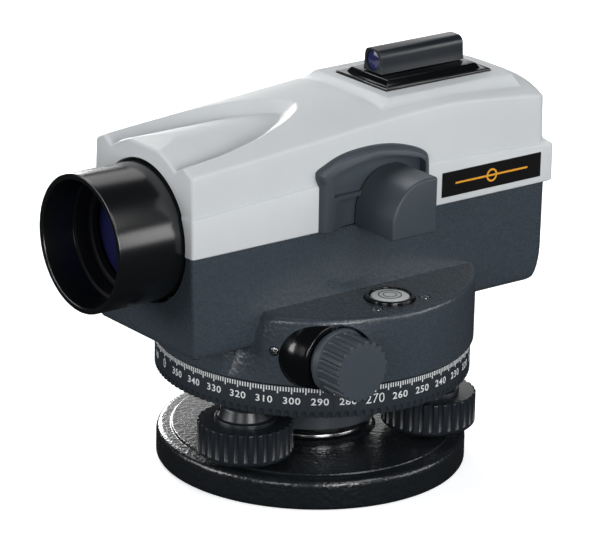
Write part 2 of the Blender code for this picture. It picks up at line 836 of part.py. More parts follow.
def make_hood(look):
    wall = HALF_WIDTH + GAP
    plate_face = wall + 2.4
    outline = [(-21.3, SEAM_Z + 0.4), (25.6, SEAM_Z + 0.4), (25.6, 112.6), (23.0, 115.4)]
    outline += arc((1.0, 64.0), 55.6, 66, 112, 6)[1:]
    outline += [(-22.4, 114.4), (-22.4, 112.2), (-21.3, 111.0)]
    bezel = prism("prism_bezel", outline, wall, plate_face, look["moulded"])
    field = [(-16.8, 103.9), (23.0, 103.9), (23.0, 111.4), (10.7, 115.2), (-3, 115.6), (-16.8, 111.8)]
    cut(bezel, prism("bezel_field", field, plate_face - 0.9, plate_face + 1, None))

    def hood_outline(inset):
        radius = HOOD_TOP - 99.5 - inset
        bend = arc((HOOD_FRONT + 12.9, 99.5), radius, 90, 180, 6)
        rear = HOOD_REAR + (1 if inset else 0)
        low = HOOD_LOW - (1 if inset else 0)
        return [(rear, HOOD_TOP - inset), *bend, (HOOD_FRONT + inset, low), (rear, low)]

    start = plate_face + GAP
    hood = prism("prism_hood", hood_outline(0), start, HOOD_END, look["moulded"])
    cut(hood, prism("hood_room", hood_outline(1.8), start - 1, HOOD_END - 1.8, None))
    mirror = prism(
        "bubble_mirror",
        [(-2.4, 95.2), (-1.5, 94.3), (11.6, 107.4), (10.7, 108.3)],
        start + 0.4,
        HOOD_END - 2.3,
        look["steel"],
    )
    return [bezel, hood, mirror]


def make_sight(look):
    low = 131.9
    plate_top = 133.2
    step_top = 134.9
    base = block("sight_base", (-14, 18.5, low), (14, 65, plate_top), look["black"])
    step = bmesh.new()
    rows = []
    for z, half, front, rear in ((132.6, 12.2, 19.8, 63.6), (134.0, 11.6, 20.4, 63.0), (step_top, 10.4, 21.6, 61.8)):
        corners = ((-half, front), (half, front), (half, rear), (-half, rear))
        rows.append([step.verts.new((x * MM, y * MM, z * MM)) for x, y in corners])
    for below, above in zip(rows, rows[1:]):
        for index in range(4):
            after = (index + 1) % 4
            step.faces.new((below[index], below[after], above[after], above[index]))
    step.faces.new(rows[0])
    step.faces.new(rows[-1])
    join(base, new_object("sight_step", step, None))
    shape = bmesh.new()
    half = 5.0
    top_r = 4.8
    outline = [(-half, step_top + GAP), (half, step_top + GAP)]
    outline += arc((0, 138.7), top_r, 0, 180, 12)
    corners = [shape.verts.new((x * MM, SIGHT_FRONT * MM, z * MM)) for x, z in outline]
    face = shape.faces.new(corners)
    pushed = bmesh.ops.extrude_face_region(shape, geom=[face])
    moved = [item for item in pushed["geom"] if isinstance(item, bmesh.types.BMVert)]
    bmesh.ops.translate(shape, vec=(0, (SIGHT_REAR - SIGHT_FRONT) * MM, 0), verts=moved)
    housing = new_object("sight_housing", shape, look["black"])
    at = (0, 0, SIGHT_Z)
    cut(housing, disc("sight_bore", 3.7, SIGHT_FRONT - 5, SIGHT_REAR + 5, None, at, "Y", 28))
    front = disc("sight_lens_front", 3.4, SIGHT_FRONT + 0.6, SIGHT_FRONT + 2.6, look["glass"], at, "Y", 28)
    rear = disc("sight_lens_rear", 3.4, SIGHT_REAR - 2.6, SIGHT_REAR - 0.6, look["glass"], at, "Y", 28)
    return [base, housing, front, rear]


def make_label(look):
    start = HALF_WIDTH + GAP
    return block("label_plate", (start, 32.0, 95.8), (start + 0.6, 76.6, 104.7), look["label"])


def make_tube_seat(look):
    at = (0, 0, AXIS_Z)
    return ring("tube_seat", TUBE_R + GAP, 25.2, -64, -58, look["cast"], at, "Y", 40)


# ---------------------------------------------------------------- assembly


def clear_scene():
    for item in list(bpy.data.objects):
        bpy.data.objects.remove(item, do_unlink=True)


def main():
    clear_scene()
    look = finishes()
    make_base(look)
    for number, angle in enumerate(FOOT_ANGLES, 1):
        make_foot_screw(look, number, angle)

    tilt = pivot("tilt_pivot", (0, 0, TILT_CENTRE_Z))
    upright = pivot("vertical_axis", (0, 0, 0))
    hang(tilt, upright)
    hang(tilt, make_spring_plate(look), *make_head(look))
    hang(upright, make_circle(look), make_worm_wheel(look))
    hang(upright, *make_drive(look))
    hang(upright, *make_housing(look), make_cover(look), make_tube_seat(look))
    hang(upright, *make_objective(look), *make_focusing(look))

    still, hanging = make_compensator(look)
    swing = pivot("pendulum_pivot", (0, 29, 110))
    hang(upright, swing, *still)
    hang(swing, *hanging)
    for group in make_eyepiece(look):
        hang(upright, *group)
    hang(upright, *make_bubble(look), *make_hood(look), *make_sight(look), make_label(look))


main()
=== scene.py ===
import math

import bpy
from mathutils import Matrix, Vector


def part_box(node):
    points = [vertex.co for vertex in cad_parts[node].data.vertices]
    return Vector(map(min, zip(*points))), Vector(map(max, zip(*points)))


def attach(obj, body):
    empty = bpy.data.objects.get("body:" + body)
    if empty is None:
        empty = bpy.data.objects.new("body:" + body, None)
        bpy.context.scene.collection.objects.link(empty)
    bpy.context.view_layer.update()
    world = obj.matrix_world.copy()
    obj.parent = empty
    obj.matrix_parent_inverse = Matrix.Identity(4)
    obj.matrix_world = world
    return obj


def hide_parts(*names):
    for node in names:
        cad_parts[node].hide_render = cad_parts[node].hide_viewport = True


# An automatic level. Lengths in the settings are millimetres, and mm turns them into Blender's metres.
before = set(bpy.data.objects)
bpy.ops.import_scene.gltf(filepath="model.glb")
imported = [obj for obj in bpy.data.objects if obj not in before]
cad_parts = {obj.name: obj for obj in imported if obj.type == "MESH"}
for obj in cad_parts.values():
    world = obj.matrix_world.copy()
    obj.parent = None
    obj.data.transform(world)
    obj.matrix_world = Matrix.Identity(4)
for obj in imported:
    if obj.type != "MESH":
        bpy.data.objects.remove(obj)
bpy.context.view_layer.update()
mm = 0.001


def deselectAll():
    if bpy.context.mode != "OBJECT":
        bpy.ops.object.mode_set(mode="OBJECT")
    bpy.ops.object.select_all(action="DESELECT")


def pick(piece):
    deselectAll()
    piece.select_set(True)
    bpy.context.view_layer.objects.active = piece


def placeOf(node):
    low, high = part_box(node)
    return (low + high) / 2 / mm


def between(value, low, high):
    return max(low, min(high, value))


def easeThrough(points, at):
    # smooth curve through (place, value) pairs, flat beyond both ends
    if at <= points[0][0]:
        return points[0][1]
    for (a, va), (b, vb) in zip(points, points[1:]):
        if at <= b:
            break
    else:
        return points[-1][1]
    index = points.index((a, va))
    before = points[max(index - 1, 0)]
    after = points[min(index + 2, len(points) - 1)]
    slopeA = (vb - before[1]) / (b - before[0])
    slopeB = (after[1] - va) / (after[0] - a)
    span = b - a
    t = (at - a) / span
    return ((2 * t**3 - 3 * t**2 + 1) * va + (t**3 - 2 * t**2 + t) * span * slopeA
            + (-2 * t**3 + 3 * t**2) * vb + (t**3 - t**2) * span * slopeB)


def softCorners(points, turns=4):
    # (a, b) points stay sharp, (a, b, radius) points are rounded
    soft = []
    count = len(points)
    for index, point in enumerate(points):
        if len(point) < 3:
            soft.append(tuple(point))
            continue
        here = Vector(point[:2])
        before = Vector(points[index - 1][:2])
        after = Vector(points[(index + 1) % count][:2])
        reach = min(point[2], (before - here).length * 0.49, (after - here).length * 0.49)
        start = here + (before - here).normalized() * reach
        end = here + (after - here).normalized() * reach
        for step in range(turns + 1):
            t = step / turns
            spot = start * (1 - t) ** 2 + here * 2 * t * (1 - t) + end * t**2
            soft.append((spot.x, spot.y))
    return soft


def turnOnLathe(name, profile, at=(0, 0, 0), along="Z", steps=128, loop=False):
    # a ring of points is carried along the (radius, height) profile
    deselectAll()
    radius, height = profile[0]
    bpy.ops.mesh.primitive_circle_add(vertices=steps, radius=radius * mm, location=(0, 0, 0))
    piece = bpy.context.object
    bpy.ops.object.mode_set(mode="EDIT")
    bpy.ops.mesh.select_all(action="SELECT")
    bpy.ops.transform.translate(value=(0, 0, height * mm))
    if not loop:
        bpy.ops.mesh.edge_face_add()
        bpy.ops.mesh.select_all(action="SELECT")
    path = list(zip(profile, profile[1:]))
    if loop:
        path.append((profile[-1], profile[0]))
    for (r0, h0), (r1, h1) in path:
        bpy.ops.mesh.extrude_region_move(TRANSFORM_OT_translate={"value": (0, 0, (h1 - h0) * mm)})
        grow = r1 / r0
        bpy.ops.transform.resize(value=(grow, grow, 1), center_override=(0, 0, 0))
    bpy.ops.mesh.select_all(action="SELECT")
    bpy.ops.mesh.remove_doubles(threshold=1e-7)
    bpy.ops.mesh.normals_make_consistent(inside=False)
    bpy.ops.object.mode_set(mode="OBJECT")
    piece.name = name
    piece.rotation_euler = {"Z": (0, 0, 0), "X": (0, math.pi / 2, 0), "Y": (-math.pi / 2, 0, 0)}[along]
    piece.location = Vector(at) * mm
    bpy.ops.object.transform_apply(location=True, rotation=True, scale=True)
    return piece


def pushOutline(name, outline, low, high, across="Z"):
    # a flat outline, pushed out across Z, X or Y into a solid
    deselectAll()
    bpy.ops.mesh.primitive_circle_add(vertices=len(outline), radius=mm, fill_type="NGON")
    piece = bpy.context.object
    for vertex, (a, b) in zip(piece.data.vertices, outline):
        vertex.co = {"Z": (a, b, low), "X": (low, a, b), "Y": (a, low, b)}[across]
        vertex.co *= mm
    depth = (high - low) * mm
    bpy.ops.object.mode_set(mode="EDIT")
    bpy.ops.mesh.select_all(action="SELECT")
    push = {"Z": (0, 0, depth), "X": (depth, 0, 0), "Y": (0, depth, 0)}[across]
    bpy.ops.mesh.extrude_region_move(TRANSFORM_OT_translate={"value": push})
    bpy.ops.mesh.select_all(action="SELECT")
    bpy.ops.mesh.normals_make_consistent(inside=False)
    bpy.ops.object.mode_set(mode="OBJECT")
    piece.name = name
    return piece


def skin(name, rows):
    # closed rows of points, all with the same count, joined into one capped solid
    around = len(rows[0])
    deselectAll()
    bpy.ops.mesh.primitive_grid_add(x_subdivisions=around, y_subdivisions=len(rows) - 1, size=1)
    piece = bpy.context.object
    for vertex in piece.data.vertices:
        column = round((0.5 + vertex.co.x) * around) % around
        row = round((0.5 + vertex.co.y) * (len(rows) - 1))
        vertex.co = Vector(rows[row][column]) * mm
    bpy.ops.object.mode_set(mode="EDIT")
    bpy.ops.mesh.select_all(action="SELECT")
    bpy.ops.mesh.remove_doubles(threshold=1e-7)
    bpy.ops.mesh.fill_holes(sides=0)
    bpy.ops.mesh.select_all(action="SELECT")
    bpy.ops.mesh.normals_make_consistent(inside=False)
    bpy.ops.object.mode_set(mode="OBJECT")
    piece.name = name
    return piece


def orderRound(points):
    # corners sorted round their middle
    middle = sum((Vector(p) for p in points), Vector((0, 0))) / len(points)
    return sorted(points, key=lambda p: math.atan2(p[1] - middle.y, p[0] - middle.x))


def slab(name, low, high):
    outline = [(low[0], low[1]), (high[0], low[1]), (high[0], high[1]), (low[0], high[1])]
    return pushOutline(name, outline, low[2], high[2])


def rod(name, radius, low, high, at=(0, 0, 0), along="Z", steps=96):
    return turnOnLathe(name, [(radius, low), (radius, high)], at, along, steps)


def merge(*pieces):
    deselectAll()
    for piece in pieces:
        piece.select_set(True)
    bpy.context.view_layer.objects.active = pieces[0]
    bpy.ops.object.join()
    return pieces[0]


def shape(piece, tool, way="DIFFERENCE"):
    # cut the tool from the piece, or weld it on
    step = piece.modifiers.new("shape", "BOOLEAN")
    step.object = tool
    step.operation = way
    step.solver = "MANIFOLD"
    pick(piece)
    bpy.ops.object.modifier_apply(modifier=step.name)
    bpy.data.objects.remove(tool, do_unlink=True)
    return piece


def softEdges(piece, width, turns=3, above=30):
    step = piece.modifiers.new("edges", "BEVEL")
    step.width = width * mm
    step.segments = turns
    step.limit_method = "ANGLE"
    step.angle_limit = math.radians(above)
    step.use_clamp_overlap = True
    step.harden_normals = False
    pick(piece)
    bpy.ops.object.modifier_apply(modifier=step.name)
    return piece


def copiesAround(piece, count, centre, axis):
    # spin the mesh into a full ring of copies
    pick(piece)
    bpy.ops.object.mode_set(mode="EDIT")
    bpy.ops.mesh.select_all(action="SELECT")
    bpy.ops.mesh.spin(steps=count, dupli=True, angle=math.tau, center=Vector(centre) * mm, axis=axis)
    bpy.ops.mesh.select_all(action="SELECT")
    bpy.ops.mesh.remove_doubles(threshold=1e-6)
    bpy.ops.mesh.normals_make_consistent(inside=False)
    bpy.ops.object.mode_set(mode="OBJECT")
    return piece


def finishPiece(piece, name, body, material, nodes=(), smoothTo=32):
    pick(piece)
    piece.name = name
    piece.data.name = name
    bpy.ops.object.transform_apply(location=True, rotation=True, scale=True)
    bpy.ops.object.shade_smooth_by_angle(angle=math.radians(smoothTo))
    piece.data.materials.clear()
    piece.data.materials.append(material)
    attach(piece, body)
    if nodes:
        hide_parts(*nodes)
    return piece


def toLinear(hexText):
    parts = [int(hexText[i:i + 2], 16) / 255 for i in (1, 3, 5)]
    return [p / 12.92 if p <= 0.04045 else ((p + 0.055) / 1.055) ** 2.4 for p in parts] + [1]


def addNode(tree, kind, settings=None, links=None):
    # settings are socket names or node properties, links are socket name to (node, output)
    node = tree.nodes.new(kind)
    for key, value in (settings or {}).items():
        if isinstance(key, str) and hasattr(node, key) and key not in node.inputs:
            setattr(node, key, value)
        else:
            node.inputs[key].default_value = value
    for key, (source, output) in (links or {}).items():
        tree.links.new(source.outputs[output], node.inputs[key])
    return node


def startMaterial(name, shaderSettings):
    made = bpy.data.materials.new(name)
    made.use_nodes = True
    tree = made.node_tree
    shader = tree.nodes["Principled BSDF"]
    for key, value in shaderSettings.items():
        shader.inputs[key].default_value = value
    place = addNode(tree, "ShaderNodeTexCoord")
    return made, tree, shader, place


def grainFinish(name, low, high, roughness, grainMm, bumpMm, shaderSettings=None, variation=0.03,
                blotchMm=18):
    # moulded and painted surfaces: a slow change of tone, a fine grain that also roughens
    made, tree, shader, place = startMaterial(name, shaderSettings or {})
    blotch = addNode(tree, "ShaderNodeTexNoise", {"Scale": 1 / (blotchMm * mm), "Detail": 3.0},
                     {"Vector": (place, "Object")})
    tone = addNode(tree, "ShaderNodeMix", {"data_type": "RGBA"}, {"Factor": (blotch, "Fac")})
    tone.inputs[6].default_value = toLinear(low)
    tone.inputs[7].default_value = toLinear(high)
    tree.links.new(tone.outputs[2], shader.inputs["Base Color"])
    grain = addNode(tree, "ShaderNodeTexNoise", {"Scale": 1 / (grainMm * mm), "Detail": 2.0},
                    {"Vector": (place, "Object")})
    rough = addNode(tree, "ShaderNodeMapRange",
                    {"To Min": roughness - variation, "To Max": roughness + variation},
                    {"Value": (grain, "Fac")})
    tree.links.new(rough.outputs["Result"], shader.inputs["Roughness"])
    bump = addNode(tree, "ShaderNodeBump", {"Strength": 1.0, "Distance": bumpMm * mm},
                   {"Height": (grain, "Fac")})
    tree.links.new(bump.outputs["Normal"], shader.inputs["Normal"])
    return made


def hammerPaint(name, low, high, roughness, dimpleMm, bumpMm, shaderSettings=None):
    # hammered stove enamel: shallow dimples with raised rims, which break up the gloss
    made, tree, shader, place = startMaterial(name, shaderSettings or {})
    stir = addNode(tree, "ShaderNodeTexNoise", {"Scale": 1 / (dimpleMm * 1.7 * mm), "Detail": 1.0},
                   {"Vector": (place, "Object")})
    shift = addNode(tree, "ShaderNodeVectorMath", {"operation": "MULTIPLY_ADD"},
                    {0: (stir, "Color"), 2: (place, "Object")})
    shift.inputs[1].default_value = (dimpleMm * mm * 0.9,) * 3
    cells = addNode(tree, "ShaderNodeTexVoronoi",
                    {"Scale": 1 / (dimpleMm * mm), "feature": "SMOOTH_F1", "Smoothness": 0.7},
                    {"Vector": (shift, "Vector")})
    fine = addNode(tree, "ShaderNodeTexNoise", {"Scale": 1 / (dimpleMm * 0.45 * mm), "Detail": 2.0},
                   {"Vector": (place, "Object")})
    height = addNode(tree, "ShaderNodeMath", {"operation": "MULTIPLY_ADD"}, {0: (fine, "Fac"),
                     2: (cells, "Distance")})
    height.inputs[1].default_value = 0.35
    bump = addNode(tree, "ShaderNodeBump", {"Strength": 1.0, "Distance": bumpMm * mm},
                   {"Height": (height, "Value")})
    tree.links.new(bump.outputs["Normal"], shader.inputs["Normal"])
    tone = addNode(tree, "ShaderNodeMix", {"data_type": "RGBA"}, {"Factor": (cells, "Distance")})
    tone.inputs[6].default_value = toLinear(low)
    tone.inputs[7].default_value = toLinear(high)
    tree.links.new(tone.outputs[2], shader.inputs["Base Color"])
    rough = addNode(tree, "ShaderNodeMapRange",
                    {"To Min": roughness - 0.06, "To Max": roughness + 0.08}, {"Value": (fine, "Fac")})
    tree.links.new(rough.outputs["Result"], shader.inputs["Roughness"])
    return made


def turnedMetal(name, low, high, roughness, lineMm, settings=None):
    # lathe-turned metal: fine lines along the work, seen as a soft stretched gleam
    made, tree, shader, place = startMaterial(name, {"Metallic": 1.0, **(settings or {})})
    lines = addNode(tree, "ShaderNodeTexNoise", {"Scale": 1 / (lineMm * mm), "Detail": 4.0},
                    {"Vector": (place, "Object")})
    tone = addNode(tree, "ShaderNodeMix", {"data_type": "RGBA"}, {"Factor": (lines, "Fac")})
    tone.inputs[6].default_value = toLinear(low)
    tone.inputs[7].default_value = toLinear(high)
    tree.links.new(tone.outputs[2], shader.inputs["Base Color"])
    rough = addNode(tree, "ShaderNodeMapRange", {"To Min": roughness - 0.07, "To Max": roughness + 0.1},
                    {"Value": (lines, "Fac")})
    tree.links.new(rough.outputs["Result"], shader.inputs["Roughness"])
    bump = addNode(tree, "ShaderNodeBump", {"Strength": 0.6, "Distance": 0.01 * mm},
                   {"Height": (lines, "Fac")})
    tree.links.new(bump.outputs["Normal"], shader.inputs["Normal"])
    return made


def coatedGlass(name, deep, edge, roughness=0.03, settings=None):
    # coated optics: nearly black glass, with the coating's violet reflection painted into the colour at
    # glancing angles
    made, tree, shader, place = startMaterial(name, {"IOR": 1.6, **(settings or {})})
    paintedReflectionShare = addNode(tree, "ShaderNodeLayerWeight", {"Blend": 0.35})
    clouds = addNode(tree, "ShaderNodeTexNoise", {"Scale": 1 / (14 * mm), "Detail": 2.0},
                     {"Vector": (place, "Object")})
    share = addNode(tree, "ShaderNodeMath", {"operation": "MULTIPLY"},
                    {0: (paintedReflectionShare, "Facing"), 1: (clouds, "Fac")})
    # the edge colour is a painted reflection, strongest at glancing angles and broken up by the clouds
    tone = addNode(tree, "ShaderNodeMix", {"data_type": "RGBA"}, {"Factor": (share, "Value")})
    tone.inputs[6].default_value = toLinear(deep)
    tone.inputs[7].default_value = toLinear(edge)
    tree.links.new(tone.outputs[2], shader.inputs["Base Color"])
    shader.inputs["Roughness"].default_value = roughness
    return made


# Moulded ABS, white, spark-eroded tool: a satin skin with a fine even grain
whiteAbs = grainFinish("mouldedWhiteAbs", "#cdd1d4", "#d6dadc", 0.42, 0.45, 0.035,
                       {"IOR": 1.5, "Specular IOR Level": 0.45})
# Slate hammered enamel on die-cast aluminium: glossy dimples a little over a millimetre wide
slateHammer = hammerPaint("slateHammeredEnamel", "#363e46", "#414a52", 0.27, 1.25, 0.11,
                          {"IOR": 1.6, "Specular IOR Level": 0.5})
# The same enamel in black, thicker on the foot plate, so the dimples are wider
blackHammer = hammerPaint("blackHammeredEnamel", "#14171a", "#1c2024", 0.24, 1.5, 0.13,
                          {"IOR": 1.6, "Specular IOR Level": 0.5})
# Black anodised aluminium, bead blasted: satin, with a soft broad gleam
blackAnodised = grainFinish("beadBlastedBlackAnodising", "#0c0e10", "#111416", 0.2, 0.35, 0.008,
                            {"IOR": 1.75})
# Blackened bore of the barrel: dead matt so that stray light dies
mattBlack = grainFinish("mattBlackBore", "#0b0c10", "#101218", 0.6, 0.3, 0.01, {"Specular IOR Level": 0.25})
# Moulded black nylon, textured tool: matt slate grey with a fine grain
slateNylon = grainFinish("mouldedSlateNylon", "#3a4249", "#454d55", 0.42, 0.4, 0.03,
                         {"Specular IOR Level": 0.42})
# Darker, smoother nylon of the foot screws and the sight: near black with a clear gleam
darkNylon = grainFinish("mouldedDarkNylon", "#1b2025", "#23282e", 0.3, 0.4, 0.02,
                        {"Specular IOR Level": 0.5})
# Polished black moulding: crisp dark reflections
glossBlack = grainFinish("polishedBlackMoulding", "#08090b", "#0d0f11", 0.16, 0.6, 0.004,
                         {"IOR": 1.52})
# Circle's ring: black anodised, fine satin
ringBlack = grainFinish("satinBlackRing", "#2a3036", "#343a41", 0.35, 0.35, 0.01, {"Metallic": 0.1})
# Filled engraving: flat white enamel
whiteFill = grainFinish("whiteScaleEnamel", "#dfe3e5", "#eef0f1", 0.5, 0.3, 0.004)
# Nickel-plated steel: bright, with fine turned lines
brightSteel = turnedMetal("nickelPlatedSteel", "#c4c6c8", "#e2e3e4", 0.2, 0.6)
# Cast aluminium, machined and clear lacquered: pale satin
castMetal = grainFinish("lacqueredCastAluminium", "#464b51", "#565c62", 0.45, 0.5, 0.03, {"Metallic": 0.4})
# Turned brass: warm, with a broken gleam round the work
brassMetal = turnedMetal("turnedBrass", "#b08d4c", "#c7a566", 0.3, 0.5)
# Objective's coating: deep navy glass, turning violet at glancing angles as a painted reflection
objectiveGlass = coatedGlass("violetCoatedGlass", "#12142e", "#3b3f86")
# Sight's small lens: the same coating and painted violet reflection, a little cloudier
sightGlass = coatedGlass("sightCoatedGlass", "#23264a", "#4a4f93", 0.12)
# Polished prism glass, drawn grey and closed, since it sits in the dark body; paler at glancing angles as a
# painted reflection
clearGlass = coatedGlass("plainPrismGlass", "#5d6a70", "#a4b4b8", 0.04)
# Vial: milk-white acrylic disc, glossy as if wet
vialWhite = grainFinish("milkWhiteAcrylic", "#dfe4e4", "#eef1f0", 0.12, 0.8, 0.002)
# Printed polyester label: smooth satin black, with satin amber ink on it
labelFilm = grainFinish("printedLabelFilm", "#0d0d0e", "#131314", 0.3, 0.5, 0.002)
amberInk = grainFinish("amberInk", "#e5a02b", "#eeab38", 0.4, 0.5, 0.002)
# Moulded rubber of the eyecup: soft, nearly black and without gloss
softRubber = grainFinish("softBlackRubber", "#141517", "#1c1d1f", 0.72, 0.5, 0.03)
print("materials ready")


cover = {
    "front": -73.0, "rear": 79.4, "low": 93.3, "wallHalf": 28.2, "topHalf": 27.6, "shoulder": 26.4,
    "faceRound": 1.1, "rearRound": 3.4, "bandHalf": 29.0, "bandFront": -73.4, "bandRear": 82.8,
    "bandTop": [(-73, 107.0), (-20, 109.7), (28, 109.4), (67, 107.7), (82, 106.8)],
    "sideEdge": [(-73, 121.4), (-50, 123.0), (-30, 124.6), (-15, 125.8), (0, 127.1), (14, 128.2),
                 (28, 128.8), (42, 128.7), (55, 127.6), (63, 126.7), (72, 125.8), (82, 124.6)],
    "ridge": [(-73, 125.8), (-60, 127.0), (-46, 128.2), (-25, 129.6), (-8, 130.4), (12, 131.1),
              (40, 131.3), (63, 130.8), (72, 130.2), (82, 129.4)],
    "platform": (20.5, 14.0, 69.0, 132.5), "foot": (2.8, 4.5, 3.2),
    "tubeAxis": 95.8, "fairing": 31.1,
    "rim": [(-73, 22.6), (-60, 22.4), (-50, 21.2), (-40, 19.2), (-30, 15.9), (-24, 13.2),
            (-18, 9.6), (-14, 6.2), (-11.8, 3.0), (-11.0, 0.2)],
}


def windowOutline(grow=0.0):
    # the sunk window behind the hood, drawn in y and z
    front, rear, low = -17.4 - grow, 23.0 + grow, 93.4 - 2 * grow
    return softCorners([(front, low, 0.3), (rear, low, 0.3), (rear, 111.2, 1.0), (21.2, 112.7 + grow, 1.0),
                        (11.3, 115.5 + grow, 5), (3.7, 116.4 + grow, 4), (-2.2, 116.1 + grow, 4),
                        (-10.2, 114.8 + grow, 4), (front, 112.4, 0.8)], 5)


def rimHalf(y):
    table = cover["rim"]
    if y >= table[-1][0]:
        return 0.0
    return easeThrough(table, y)


def coverTop(x, y):
    edge = easeThrough(cover["sideEdge"], y)
    ridge = easeThrough(cover["ridge"], y)
    share = min(abs(x) / 27.2, 1.0)
    high = edge + (ridge - edge) * (1 - share**3.6)
    half, front, rear, deck = cover["platform"]
    sideFoot, frontFoot, rearFoot = cover["foot"]
    away = max((abs(x) - half) / sideFoot, (front - y) / frontFoot, (y - rear) / rearFoot, 0.0)
    if away < 1:
        high = high + (deck - high) * (1 - away) ** 1.7
    rim = rimHalf(y)
    if abs(x) < rim or y < -11:
        barrel = cover["tubeAxis"] + math.sqrt(max(cover["fairing"] ** 2 - x * x, 1.0))
        inside = recessDepth(x, y)
        if inside > 0:
            wall = high - inside
            return max(wall, min(barrel, high))
    return high


def recessDepth(x, y):
    # how far the sloped wall has sunk: distance inside the rim times the wall's slope
    best = 1e9
    for step in range(-24, 25):
        py = y + step * 0.5
        gap = rimHalf(py)
        if py > -11.0:
            gap = 0.0
        away = math.hypot(gap - abs(x), py - y)
        best = min(best, away)
    if abs(x) >= rimHalf(y):
        return 0.0
    slope = easeThrough([(-73, 0.85), (-45, 0.95), (-30, 0.8), (-14, 0.5)], y)
    return best * slope


def coverSection(y):
    # half of a cross-section, from the ridge down to the seam
    points = []
    samples = 56
    for step in range(samples + 1):
        x = cover["shoulder"] * step / samples
        points.append((x, coverTop(x, y)))
    edge = easeThrough(cover["sideEdge"], y)
    last = Vector(points[-1])
    corner = Vector((cover["topHalf"] - 0.05, last[1] - 0.35))
    below = Vector((cover["topHalf"] + 0.05, edge - 1.3))
    for t in (0.25, 0.5, 0.75, 1.0):
        points.append(tuple(last * (1 - t) ** 2 + corner * 2 * t * (1 - t) + below * t**2))
    for t in (0.25, 0.5, 0.75, 1.0):
        points.append((below.x + (cover["wallHalf"] - below.x) * t, below.y + (106.5 - below.y) * t))
    points += [(cover["wallHalf"], 100.0), (cover["wallHalf"], cover["low"])]
    return points


def insetSection(points, amount):
    # shrink an open half outline inwards along its own normals
    moved = []
    for index, here in enumerate(points):
        before = points[index - 1] if index else (-points[1][0], points[1][1])
        after = points[index + 1] if index + 1 < len(points) else (here[0], here[1] - 1)
        along = Vector((after[0] - before[0], after[1] - before[1])).normalized()
        x = here[0] + along.y * amount
        z = here[1] - along.x * amount
        moved.append((max(x, 0.0) if index else 0.0, max(z, cover["low"])))
    moved[-1] = (moved[-1][0], cover["low"])
    return moved


def bandRing(inset):
    # one closed ring of the lower band: its own outline, drawn in by an inset
    half, front, rear = cover["bandHalf"] - inset, cover["bandFront"] + inset, cover["bandRear"] - inset
    side = [(half, front + 4 + (rear - front - 8) * t / 48) for t in range(49)]
    return softCorners([(half, front, 1.3), *side, (half, rear, 3.2), (-half, rear, 3.2),
                        *[(-x, y) for x, y in reversed(side)], (-half, front, 1.3)], 6)


def makeBand():
    rows = [[(x, y, cover["low"]) for x, y in bandRing(0.3)],
            [(x, y, cover["low"] + 0.35) for x, y in bandRing(0)]]
    for inset, lift in ((0, -0.75), (0.22, -0.12)):
        rows.append([(x, y, easeThrough(cover["bandTop"], y) + lift) for x, y in bandRing(inset)])
    last = []
    for x, y in bandRing(0.22):
        behind = between((y - 76) / 4, 0, 1)  # the step is deeper at the rear
        last.append((between(x, -28.0, 28.0), between(y, -72.8, cover["rear"] - 0.2),
                     easeThrough(cover["bandTop"], y) + 0.4 + 1.5 * behind))
    rows.append(last)
    return skin("band", rows)


def makeCover():
    front, rear = cover["front"], cover["rear"]
    soft, softRear = cover["faceRound"], cover["rearRound"]
    rows = []
    for step in range(6):
        angle = math.pi / 2 * step / 5
        rows.append((front + soft * (1 - math.cos(angle)), soft * (1 - math.sin(angle))))
    count = int((rear - front - soft - softRear) / 0.62)
    for step in range(1, count):
        rows.append((front + soft + (rear - front - soft - softRear) * step / count, 0.0))
    for step in range(9):
        angle = math.pi / 2 * (1 - step / 8)
        rows.append((rear - softRear + softRear * math.cos(angle), softRear * (1 - math.sin(angle))))
    sections = []
    for y, inset in rows:
        half = coverSection(max(y, front + 0.01))
        if inset:
            half = insetSection(half, inset)
        sections.append([(x, y, z) for x, z in reversed(half)] + [(-x, y, z) for x, z in half[1:]])
    piece = skin("coverBody", sections)
    shape(piece, makeBand(), "UNION")
    axis = (0, 0, cover["tubeAxis"])
    shape(piece, slab("room", (-25.6, -70.2, 80), (25.6, 77, 115.0)))
    shape(piece, rod("tubeRoom", 25.6, -70.2, -5, axis, "Y"))
    shape(piece, slab("upperRoom", (-24.6, -5.4, 110), (24.6, 72.5, 120.4)))
    shape(piece, rod("mouth", 24.9, -80, -60, axis, "Y", 128))
    shape(piece, rod("eyeHole", 15.5, 70, 90, axis, "Y"))
    shape(piece, slab("sightPocket", (-14.4, 18.1, 131.55), (14.4, 65.4, 140)))
    shape(piece, pushOutline("bubbleWindow", windowOutline(1.0), 27.0, 40, "X"))
    finishPiece(piece, "coverShell", "alidade", whiteAbs, ["upper_cover"], 24)
    print("cover:", len(piece.data.polygons), "faces")


makeCover()


housing = {
    "drum": 56.0, "drumLow": 45.6, "ledge": 69.4, "driveY": -28.0, "driveZ": 55.5,
    "bossEnd": 47.6, "pocket": 12.2,
    # height, front, rear and half width of the body, from the bottom up
    "sections": [(57.2, -70.2, 76.9, 26.2), (57.45, -70.7, 77.6, 27.0), (58.1, -71.0, 78.3, 27.6),
                 (59.4, -71.15, 79.1, 27.8), (61.5, -71.25, 79.9, 27.9), (64.5, -71.45, 80.6, 27.95),
                 (68.5, -71.7, 81.0, 28.0), (80, -72.4, 81.0, 28.1), (93, -73.0, 81.0, 28.2)],
}


